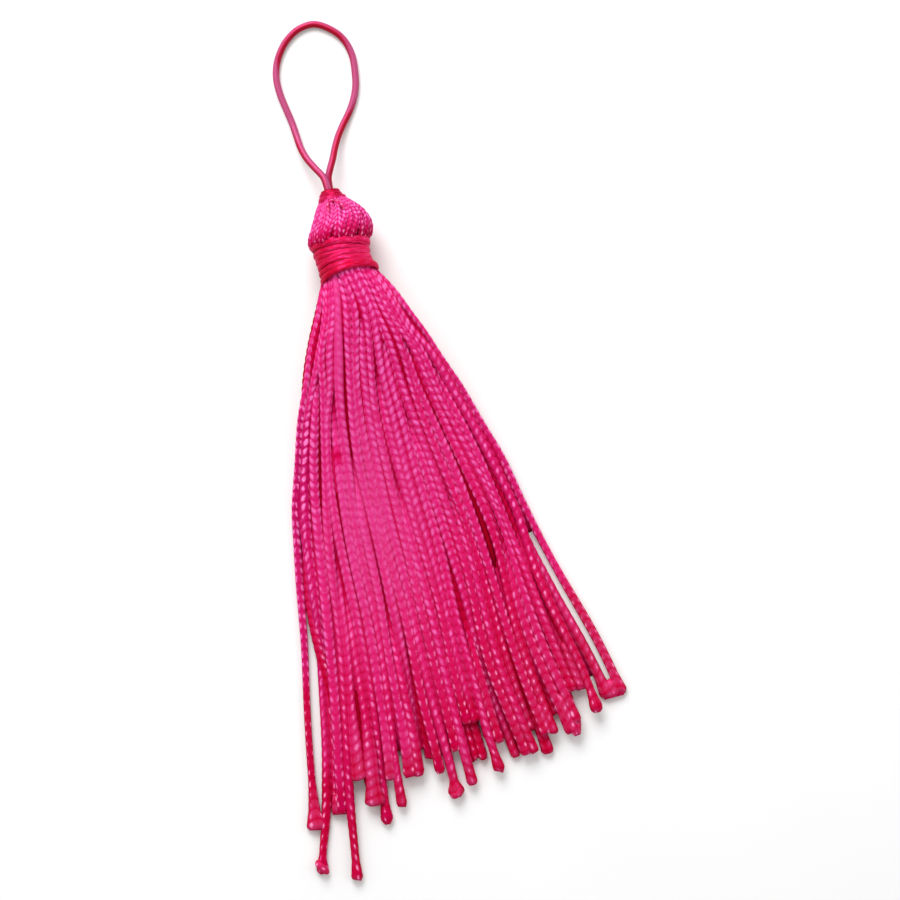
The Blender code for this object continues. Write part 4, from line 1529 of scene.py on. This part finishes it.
def add_parting_floor(stock, gap, dressed, settings):
    """The strand that shows deep down in one parting, painted in deep shade."""
    left, right, start, end = gap
    downs, across, height = dressed[:3]
    here = (downs >= start) & (downs <= end)
    middle = 0.5 * (across[left] + across[right])[here]
    ends = np.minimum(downs[here] - start, end - downs[here])
    sink = FLOOR_SINK + 0.5 * (1.0 - smooth(ends / 4.0))
    level = np.minimum(height[left], height[right])[here] - sink
    route = np.stack((middle, -downs[here], level), axis=1)
    radius = FLOOR_RADIUS * (0.4 + 0.6 * smooth(ends / 2.0))
    relief = 0.5 * settings.stitch_relief
    # Painted deep shade on the parting's floor.
    look = cord_look(settings, relief=relief, turn=float(left), tone=0.55, deep=1.2)
    add_knit_cord(stock, route, radius, radius * 0.85, look)


def add_web(stock, web, dressed, settings):
    """Strands of one lock melted together at the hem: a flat tongue over their ends."""
    members, tip, profile, slant = web
    downs, across, height = dressed[:3]
    here = np.append(np.arange(tip - profile[0][0], tip - 0.1, 0.25), tip)
    middle, level = (
        np.mean([np.interp(here, downs, values[index]) for index in members], axis=0)
        for values in (across, height)
    )
    route = np.stack((middle, -here, np.maximum(level, 0.42) + WEB_LIFT), axis=1)
    ends = np.minimum(here - here[0], tip - here)
    thick = WEB_HALF * (0.35 + 0.65 * smooth(ends / 0.8))
    look = cord_look(
        settings,
        pitch=1.2 * settings.stitch_pitch / MM,
        relief=0.3 * settings.stitch_relief,
        fade=0.45,
        slant=abs(slant),
        slant_turn=0.0 if slant > 0.0 else math.pi,
        wales=4,
        turn=0.4 * members[0],
        tone=0.95,
    )
    add_knit_cord(stock, route, read_off(profile[::-1], tip - here), thick, look)


def add_knot(stock, route, turn):
    """One turn of the cord tied round itself just above the strand's tip."""
    lengths = arc_lengths(route)
    angle = np.linspace(0.0, 2.0 * math.pi * KNOT_TURNS, 30)
    along = lengths[-1] - KNOT_BACK + KNOT_TILT * np.cos(angle)
    centre, aside, above = (sample(along, lengths, rows) for rows in (route, *sides_of(route)))
    swing = (angle + turn)[:, None]
    ring = centre + aside * (np.cos(swing) * KNOT_RADIUS) + above * (np.sin(swing) * KNOT_RADIUS)
    ring[:, 2] = np.maximum(ring[:, 2], KNOT_CORD * 0.6)
    swell = KNOT_CORD * (0.55 + 0.45 * np.sin(np.linspace(0.0, math.pi, len(ring))) ** 0.5)
    outward = aside * np.cos(swing) + above * np.sin(swing)
    add_plain_cord(stock, ring, swell * 1.15, swell * 0.85, 14, 1.0, upward=outward)


def strand_radius(index, down, back, dressed, settings):
    """Half width of a strand: snug beside its neighbours, uneven, and swollen at its end."""
    strand = STRANDS[index]
    along = arc_lengths(strand_route(index, dressed))
    if strand["layer"] == "under":
        radius = settings.cord_width / MM / 2.0 * settings.under_width
        radius = radius * (0.72 + 0.28 * past(down, -1.0, 16.0))
        radius = radius * (1.0 - 0.26 * past(down, strand["down"] - 9.0, 6.0))
    else:
        room = rounded(read_off(WIDTH_BY_ROOM, dressed.room[index]))
        radius = np.interp(down, dressed.downs, room) * settings.cord_width / MM / 2.0
    wave = np.sin(along / (5.5 + 3.0 * chance(index, 5)) + 9.0 * chance(index, 6))
    radius = radius * (0.97 + 0.06 * chance(index, 17) + 0.035 * wave)
    return radius * read_off(reversed(END_SWELL[strand["end"]]), back)


def strand_fade(index, across, down, along, broad):
    """How clear a strand's stitches are: worn in places, calm where the strands lie flat."""
    smoothness = smooth((20.0 - down) / 8.0) if index == SMOOTH_STRAND else 0.0
    worn = 0.5 + 0.5 * np.sin(along / 9.0 + 12.0 * chance(index, 18))
    fade = (1.0 - 0.85 * smoothness) * (1.0 - 0.35 * worn * past(down, 18.0, 20.0))
    calm = nearness(across, CALM_AT[0], CALM_REACH[0]) + nearness(down, CALM_AT[1], CALM_REACH[1])
    return fade * (1.0 - 0.75 * np.exp(-calm)) * np.clip(2.2 - 1.2 * broad, 0.4, 1.0)


def strand_tone(index, across, down, back, free):
    """How dark a strand is: a random tone, painted shade to the hem, right and under layer, darker at its
    tip and where free.
    """
    # Painted shade: darker towards the hem, on the right and on the under layer; the first term is a random
    # tone.
    tone = 0.25 * chance(index, 1) + 0.60 * past(down, 16.0, 56.0)
    tone = tone + 0.20 * smooth(across / 8.0) * past(down, 6.0, 10.0)
    tone = tone + 0.45 * np.interp(back, (1.0, 5.0), (1.0, 0.0)) + 0.5 * free
    return np.clip(tone + (0.35 if STRANDS[index]["layer"] == "under" else 0.0), 0.0, 1.0)


def strand_depth(index, across, down, dressed):
    """How deep a strand lies in the shade of the others, painted as shade on it, with a painted dark patch
    at the snag.
    """
    strand = STRANDS[index]
    if strand["layer"] == "over":
        deep = 0.85 * (1.0 - surfaced(index, down + 2.5))
        snag = nearness(across, SNAG_AT[0], SNAG_REACH[0]) + nearness(down, SNAG_AT[1], SNAG_REACH[1])
        return np.clip(deep + 0.78 * np.exp(-snag), 0.0, 1.0)
    deep = 0.85 - 0.30 * past(down, 30.0, 15.0)
    deep = deep - 0.25 * past(down, strand["down"] - 12.0, 6.0)
    left, right = (np.interp(down, dressed.downs, dressed.across[edge]) for edge in (0, -1))
    middle, reach = 0.5 * (left + right), 0.5 * (right - left)
    outer = past(np.abs(across - middle) / reach, 0.65, 0.25)
    return deep * (1.0 - 0.8 * outer * past(down, 15.0, 9.0))


def add_strand(stock, index, dressed, settings):
    """One strand of the skirt with its stitches and its finished end."""
    route = strand_route(index, dressed)
    along = arc_lengths(route)
    across, down, back = route[:, 0], -route[:, 1], along[-1] - along
    radius = strand_radius(index, down, back, dressed, settings)
    broad = read_off(BROADENED.get(index, ((0.0, 1.0), (90.0, 1.0))), down)
    flat = 0.80 - 0.06 * chance(index, 3)
    fade = strand_fade(index, across, down, along, broad)
    relief = settings.stitch_relief * fade * (1.0 - 0.35 * past(down, 40.0, 25.0))
    # Edge strands: stronger painted shade and highlights on their stitches.
    edged = EDGED.get(index, 0.0) * past(down, 12.0, 10.0)
    fade = fade * (1.0 + edged * (1.0 - past(down, 50.0, 12.0)))
    free = past(down, FREE_FROM.get(index, 90.0), 8.0)
    # Painted light kept on the flanks: more on over strands further down, where they are not free.
    shut = FLANK_SHADE
    if STRANDS[index]["layer"] == "over":
        shut = shut + 0.24 * past(down, 16.0, 14.0) * (1.0 - free)
    look = cord_look(
        settings,
        pitch=settings.stitch_pitch / MM * (0.93 + 0.16 * chance(index, 4)),
        relief=relief * np.interp(back, (0.0, 1.0, 2.6), (0.10, 0.20, 1.0)),
        fade=fade * np.interp(back, (0.0, 1.2, 3.0), (0.85, 1.3, 1.0)),
        slant=0.75 * chance(index, 22),
        slant_turn=2.0 * math.pi * chance(index, 23),
        turn=2.0 * math.pi * chance(index, 7),
        twist=0.07 * (chance(index, 8) - 0.5),
        lean=1.0 if chance(index, 19) < 0.6 else -1.0,
        tone=strand_tone(index, across, down, back, free),
        deep=strand_depth(index, across, down, dressed),
        shut=shut,
    )
    add_knit_cord(stock, route, radius * broad, radius * flat, look)
    if STRANDS[index]["end"] == "knot":
        add_knot(stock, route, 2.2 + index)


def head_reach(along):
    """Half width of the head at a height along its axis."""
    return float(read_off(HEAD_OUTLINE, along))


def head_point(along, azimuth, lift):
    """Point over the head and its outward direction, lifted off the outline."""
    slope = (head_reach(along + 0.05) - head_reach(along - 0.05)) / 0.1
    outward = Vector((math.cos(azimuth), -slope, math.sin(azimuth))) / math.hypot(1.0, slope)
    point = Vector((math.cos(azimuth), 0.0, math.sin(azimuth))) * head_reach(along) + lift * outward
    return on_axis(point.x, along + point.y, point.z), HEAD_PLACE.to_3x3() @ outward


def add_fold(stock, index, head, knit):
    """One doubled cord over the head, from the crown binding into the neck binding."""
    depth = head.fold_depth / MM
    start = 2.0 * math.pi * (index + 0.35 * (chance(index, 9) - 0.5)) / head.folds
    swirl = head.swirl * (0.3 + 1.4 * chance(index, 10))
    foot, top = HEAD_OUTLINE[0][0], HEAD_OUTLINE[-1][0]
    lift = -depth * (1.0 + 0.25 * (chance(index, 21) - 0.5))
    points, outward, widths, calm = [], [], [], []
    for travel in np.linspace(0.0, 1.0, FOLD_STEPS):
        along = top + (foot - top) * travel
        azimuth = start + swirl * (travel - 0.5)
        azimuth += 0.035 * math.sin(6.0 * travel + 9.0 * chance(index, 20))
        place, out = head_point(along, azimuth, lift)
        points.append(tuple(place))
        outward.append(tuple(out))
        widths.append(math.pi * head_reach(along) / head.folds * head.fold_overlap)
        far = nearness(head_reach(along) * math.cos(azimuth), HEAD_CALM[0], HEAD_CALM[2])
        far += nearness(along, HEAD_CALM[1], HEAD_CALM[3])
        calm.append(math.exp(-far) if math.sin(azimuth) > 0.0 else 0.0)
    points = np.array(points)
    lengths = arc_lengths(points)
    fade = (0.15 + 0.85 * past(lengths, 0.5, 2.4)) * (1.0 - 0.75 * np.array(calm))
    look = cord_look(
        knit,
        pitch=knit.stitch_pitch / MM * head.stitch_share * (0.90 + 0.2 * chance(index, 11)),
        growth=0.0001,
        relief=knit.stitch_relief * 1.25 * fade,
        fade=fade,
        wales=3,
        turn=2.0 * math.pi * chance(index, 12),
        twist=0.30 * (chance(index, 13) - 0.5),
        lean=1.0 if index % 2 else -1.0,
        # A random tone, and painted shade towards the neck on the head's lower half.
        tone=0.15 * chance(index, 14) + 0.85 * past(lengths, 4.4, 3.2),
    )
    add_knit_cord(stock, points, np.array(widths), depth, look, np.array(outward))


def add_tuck(stock):
    """The small arched tuck that one cord makes below the crown."""
    points, outward = [], []
    for across, along in rounded_route([(x, y, 0.0) for x, y in TUCK], 6)[:, :2]:
        azimuth = math.acos(max(-1.0, min(1.0, across / head_reach(along))))
        place, out = head_point(along, azimuth, -0.08)
        points.append(tuple(place))
        outward.append(tuple(out))
    radius = 0.27 * np.sin(np.linspace(0.15, math.pi - 0.15, len(points))) ** 0.4
    add_plain_cord(stock, np.array(points), radius, radius * 0.8, 10, 0.9, upward=np.array(outward))


def edge_height(edge, azimuth):
    """Height of a slanted and bowed binding edge at an azimuth round the neck."""
    middle, right, top = edge
    return middle + right * math.cos(azimuth) + top * math.sin(azimuth)


def wound_thread_route(turns, along_at, reach_at, wander, seed):
    """Route of a thread wound round the neck or crown, and its outward directions."""
    steps = int((turns + 1.7) * STEPS_PER_TURN)
    points, outward = [], []
    for step in range(steps + 1):
        turn = step / STEPS_PER_TURN
        azimuth = 2.0 * math.pi * turn + seed
        share = min(max((turn - 0.85) / turns, 0.0), 1.0)
        sway = math.sin(azimuth * 2.0 + 1.9 * int(turn + 0.5) + seed)
        sway += 0.6 * math.sin(azimuth * 3.0 + 0.8 * turn)
        along = along_at(share, azimuth) + wander * sway * math.sin(math.pi * share)
        reach = reach_at(share) + 0.06 * math.sin(azimuth * 3.0 + 2.3 * turn)
        points.append(tuple(on_axis(reach * math.cos(azimuth), along, reach * math.sin(azimuth))))
        outward.append(tuple(HEAD_PLACE.to_3x3() @ Vector((math.cos(azimuth), 0.0, math.sin(azimuth)))))
    return np.array(points), np.array(outward)


def add_sleeve(stock, along_at, reach_at, tone):
    """Plain body under a winding, so that nothing shows between its turns, coloured in painted deep shade.
    """
    rows, sides = SLEEVE_ROWS, SLEEVE_SIDES
    points = np.zeros((rows + 1, sides, 3))
    for row in range(rows + 1):
        share = row / rows
        for column in range(sides):
            azimuth = -2.0 * math.pi * column / sides
            reach = reach_at(share)
            along = along_at(share, azimuth)
            points[row, column] = on_axis(reach * math.cos(azimuth), along, reach * math.sin(azimuth))
    flat = np.ones((rows + 1, sides))
    u = flat * np.arange(sides)[None, :] / sides
    v = flat * np.arange(rows + 1)[:, None]
    # Painted deep shade: a low light level with the given darkening.
    stock.add_grid(points, u, v, flat * 0.1, flat * tone)


def loop_points():
    """The loop's route in the layout, from inside the crown down to the surface and back."""
    crown_top = crown_span()[1]
    crown = on_axis(0.0, crown_top + SEAT_GAP, 0.0)
    rest = LOOP_DIAMETER / 2.0 + LOOP_CLEARANCE
    points = []
    for across, along in LOOP_ROUTE:
        fall = smooth((along - LOOP_ROUTE[0][1]) / (LOOP_LANDS_AT - LOOP_ROUTE[0][1]))
        above = along - LOOP_ROUTE[0][1]
        over = math.copysign(LOOP_CROSSING, -across) * (1.0 - smooth(above / 3.6))
        across *= 0.30 + 0.70 * smooth(above / 3.2)
        level = crown.z + (rest - crown.z) * fall + over
        points.append((across, above + crown.y, level))
    inside = 1.2
    ends = [(p[0], p[1] - inside, p[2] + 0.1) for p in (points[0], points[-1])]
    return [ends[0], *points, ends[1]]


class TASSEL_OT_skirt(Operator):
    """Knit the strands of the skirt, in four groups"""

    bl_idname = "tassel.skirt"
    bl_label = "Skirt strands"

    def execute(self, context):
        settings = context.scene.tassel_knit
        material = knitted_silk("knitted silk", settings)
        dressed = dressed_skirt()
        for layer in ("over", "under"):
            members = [index for index, strand in enumerate(STRANDS) if strand["layer"] == layer]
            half = len(members) // 2
            for side, chosen in (("left", members[:half]), ("right", members[half:])):
                stock = MeshStock()
                for index in chosen:
                    add_strand(stock, index, dressed, settings)
                for seam in seams(dressed):
                    if seam[0] in chosen:
                        add_seam(stock, seam, dressed)
                for gap in dressed.gaps:
                    if gap[0] in chosen:
                        add_parting_floor(stock, gap, dressed, settings)
                for web in WEBS:
                    if web[0][0] in chosen:
                        add_web(stock, web, dressed, settings)
                piece = stock.build(f"skirt_{layer}_{side}", material)
                dress(piece, "head_and_skirt")
        return {"FINISHED"}


class TASSEL_OT_head(Operator):
    """Lay the doubled cords of the head over its outline"""

    bl_idname = "tassel.head"
    bl_label = "Head"

    def execute(self, context):
        head = context.scene.tassel_head
        knit = context.scene.tassel_knit
        stock = MeshStock()
        foot, top = HEAD_OUTLINE[0][0], HEAD_OUTLINE[-1][0]
        inside = head.fold_depth / MM * 1.3
        add_sleeve(
            stock,
            lambda share, azimuth: foot + (top - foot) * share,
            lambda share: head_reach(foot + (top - foot) * share) - inside,
            1.0,
        )
        for index in range(head.folds):
            add_fold(stock, index, head, knit)
        add_tuck(stock)
        material = knitted_silk("knitted silk of the head", knit, HEAD_SHADE, HEAD_LIGHTS)
        piece = stock.build("head_folds", material)
        dress(piece, "head_and_skirt")
        return {"FINISHED"}


class TASSEL_OT_neck_binding(Operator):
    """Wind the thread round the neck"""

    bl_idname = "tassel.neck_binding"
    bl_label = "Neck binding"

    def execute(self, context):
        settings = context.scene.tassel_binding
        depth = settings.thread_depth / MM
        turns = settings.neck_turns
        pitch = (NECK_TOP[0] - NECK_FOOT[0]) / turns

        def warp(share):
            return share + 0.09 * math.sin(2.0 * math.pi * share)

        def along_at(share, azimuth, inset=0.5 * pitch):
            foot = edge_height(NECK_FOOT, azimuth) + inset
            top = edge_height(NECK_TOP, azimuth) - inset
            return foot + (top - foot) * warp(share)

        def reach_at(share):
            return BINDING_WAIST + BINDING_FLARE * (2.0 * warp(share) - 1.0) ** 2 - depth

        stock = MeshStock()
        add_sleeve(
            stock,
            lambda share, azimuth: along_at(share, azimuth, 0.1),
            lambda share: reach_at(share) - 0.02,
            0.5,
        )
        route, outward = wound_thread_route(turns, along_at, reach_at, 0.13, 4.0)
        share = np.linspace(0.0, 1.0, len(route))
        broad = pitch * (0.50 + 0.22 * (2.0 * share - 1.0) ** 2)
        deep = depth * (1.0 + 0.12 * np.sin(share * turns * 4.1))
        # Painted shade: darker on the left side and on the lower turns.
        tone = 0.3 + 0.6 * smooth((-outward[:, 0] - 0.15) / 0.8) + 0.5 * smooth((0.3 - share) / 0.3)
        tone = np.clip(tone, 0.0, 1.0)[:, None]
        add_plain_cord(stock, route, broad, deep, THREAD_SIDES, tone, upward=outward)
        piece = stock.build("neck_winding", wound_thread("neck thread", settings))
        dress(piece, "neck_binding")
        return {"FINISHED"}


class TASSEL_OT_crown_binding(Operator):
    """Wind the thread round the crown"""

    bl_idname = "tassel.crown_binding"
    bl_label = "Crown binding"

    def execute(self, context):
        settings = context.scene.tassel_binding
        depth = settings.thread_depth / MM
        turns = settings.crown_turns
        heights, reaches = zip(*CROWN_OUTLINE)
        pitch = (heights[-1] - heights[0]) / turns

        def along_at(share, azimuth, inset=0.45 * pitch):
            return heights[0] + inset + (heights[-1] - heights[0] - 2.0 * inset) * share

        def reach_at(share):
            along = along_at(share, 0.0)
            return float(np.interp(along, heights, reaches)) - depth

        stock = MeshStock()
        add_sleeve(
            stock,
            lambda share, azimuth: along_at(share, azimuth, 0.0),
            lambda share: reach_at(share) + 0.05,
            0.5,
        )
        route, outward = wound_thread_route(turns, along_at, reach_at, 0.03, 1.0)
        even = np.ones(len(route))
        # Darker towards the top.
        tone = np.linspace(0.0, 1.0, len(route))[:, None]
        broad, deep = even * pitch * 0.6, even * depth
        add_plain_cord(stock, route, broad, deep, THREAD_SIDES, tone, upward=outward)
        thread = wound_thread("crown thread", settings, CROWN_SHADE)
        piece = stock.build("crown_winding", thread)
        dress(piece, "crown_binding")
        return {"FINISHED"}


class TASSEL_OT_hanging_loop(Operator):
    """Lay the satin cord of the hanging loop"""

    bl_idname = "tassel.hanging_loop"
    bl_label = "Hanging loop"

    def execute(self, context):
        settings = context.scene.tassel_loop
        route = rounded_route(loop_points(), 8)
        radius = np.full(len(route), settings.cord_width / MM / 2.0)
        share = arc_lengths(route) / arc_lengths(route)[-1]
        # Painted shade round the cord: lit on one side, which turns along it, and deeper in dark stretches.
        places, turns, stretch_shades = zip(*LOOP_SHADES)
        painted_light_turn = np.interp(share, places, turns)[:, None]
        stretch_shade = np.interp(share, places, stretch_shades)[:, None]
        around = 2.0 * math.pi * np.arange(LOOP_SIDES)[None, :] / LOOP_SIDES
        shade = 0.5 + 0.5 * np.sin(around + painted_light_turn)
        shade = shade + (1.0 - shade) * 0.6 * (1.0 - stretch_shade)
        stretch_shade = stretch_shade * smooth((1.0 - shade) / 0.35)
        stock = MeshStock()
        add_plain_cord(stock, route, radius, radius, LOOP_SIDES, stretch_shade, shade)
        piece = stock.build("loop_cord", satin_cord("satin cord", settings))
        dress(piece, "hanging_loop")
        placed = (rounded_route(loop_points()[1:-1], 8) + np.array(SHIFT)) * MM
        return {"FINISHED"}


def area_light(name, place, target, size, power):
    """Square soft light at a place, aimed at a target; sizes in millimetres."""
    data = bpy.data.lights.new(name, "AREA")
    data.shape = "SQUARE"
    data.size = size * MM
    data.energy = power
    light = bpy.data.objects.new(name, data)
    light.location = Vector(place) * MM
    aim = Vector(target) - Vector(place)
    light.rotation_euler = aim.to_track_quat("-Z", "Y").to_euler()
    bpy.context.collection.objects.link(light)
    return light


class TASSEL_OT_stage(Operator):
    """Set the pale surface, the soft lights and the camera above the tassel"""

    bl_idname = "tassel.stage"
    bl_label = "Stage"

    def execute(self, context):
        scene = context.scene
        settings = scene.tassel_stage
        bpy.ops.mesh.primitive_plane_add(size=1.6, location=(0.0, 0.0, -0.00002))
        floor = context.active_object
        floor.name = "floor"
        floor.data.materials.append(pale_surface("pale surface", tuple(settings.floor_colour)))
        roll = math.radians(PICTURE_ROLL_DEG)
        up = Vector((math.sin(roll), math.cos(roll), 0.0))
        right = Vector((math.cos(roll), -math.sin(roll), 0.0))
        middle = Vector((*PICTURE_CENTRE, PICTURE_LEVEL)) + SHIFT
        above = Vector((0.0, 0.0, 1.0))
        lights = (
            ("key light", 1.0, KEY_PLACE, KEY_SIZE, settings.key_power),
            ("left light", -1.0, SIDE_PLACE, SIDE_SIZE, settings.side_power),
            ("right light", 1.0, SIDE_PLACE, SIDE_SIZE, settings.side_power),
        )
        for name, way, (aside, along, height), size, power in lights:
            place = middle + right * (aside * way) + up * along + above * height
            area_light(name, place, middle, size, power)
        world = bpy.data.worlds.new("even sky")
        world.use_nodes = True
        background = world.node_tree.nodes["Background"]
        background.inputs["Color"].default_value = (1.0, 1.0, 1.0, 1.0)
        background.inputs["Strength"].default_value = settings.sky_strength
        scene.world = world
        data = bpy.data.cameras.new("camera")
        data.sensor_width = SENSOR_WIDTH
        data.lens = SENSOR_WIDTH * CAMERA_HEIGHT / PICTURE_WIDTH
        data.clip_start = 0.01
        camera = bpy.data.objects.new("camera", data)
        camera.location = (middle + above * CAMERA_HEIGHT) * MM
        camera.rotation_euler = (0.0, 0.0, -roll)
        context.collection.objects.link(camera)
        scene.camera = camera
        scene.view_settings.view_transform = "Standard"
        return {"FINISHED"}


class TASSEL_PT_panel(Panel):
    """Lists the tassel's pieces with their settings"""

    bl_idname = "TASSEL_PT_panel"
    bl_label = "Silk tassel"
    bl_space_type = "VIEW_3D"
    bl_region_type = "UI"
    bl_category = "Tassel"

    def draw(self, context):
        for label, settings_name, operators in PANEL_ROWS:
            box = self.layout.box()
            box.label(text=label)
            settings = getattr(context.scene, settings_name)
            for key in type(settings).__annotations__:
                box.prop(settings, key)
            for operator in operators:
                box.operator(operator.bl_idname)


SETTINGS = (
    ("tassel_knit", TasselKnitSettings),
    ("tassel_head", TasselHeadSettings),
    ("tassel_binding", TasselBindingSettings),
    ("tassel_loop", TasselLoopSettings),
    ("tassel_stage", TasselStageSettings),
)
PIECES = (
    TASSEL_OT_stage,
    TASSEL_OT_hanging_loop,
    TASSEL_OT_skirt,
    TASSEL_OT_head,
    TASSEL_OT_neck_binding,
    TASSEL_OT_crown_binding,
)
PANEL_ROWS = (
    ("Skirt", "tassel_knit", (TASSEL_OT_skirt,)),
    ("Head", "tassel_head", (TASSEL_OT_head,)),
    ("Bindings", "tassel_binding", (TASSEL_OT_neck_binding, TASSEL_OT_crown_binding)),
    ("Hanging loop", "tassel_loop", (TASSEL_OT_hanging_loop,)),
    ("Stage", "tassel_stage", (TASSEL_OT_stage,)),
)


def register():
    for _, group in SETTINGS:
        bpy.utils.register_class(group)
    for cls in (*PIECES, TASSEL_PT_panel):
        bpy.utils.register_class(cls)
    for name, group in SETTINGS:
        setattr(bpy.types.Scene, name, PointerProperty(type=group))


def unregister():
    for name, _ in SETTINGS:
        delattr(bpy.types.Scene, name)
    for cls in (TASSEL_PT_panel, *reversed(PIECES)):
        bpy.utils.unregister_class(cls)
    for _, group in reversed(SETTINGS):
        bpy.utils.unregister_class(group)


def main():
    register()
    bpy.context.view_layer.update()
    for piece in PIECES:
        group, name = piece.bl_idname.split(".")
        getattr(getattr(bpy.ops, group), name)()


if __name__ == "__main__":
    main()
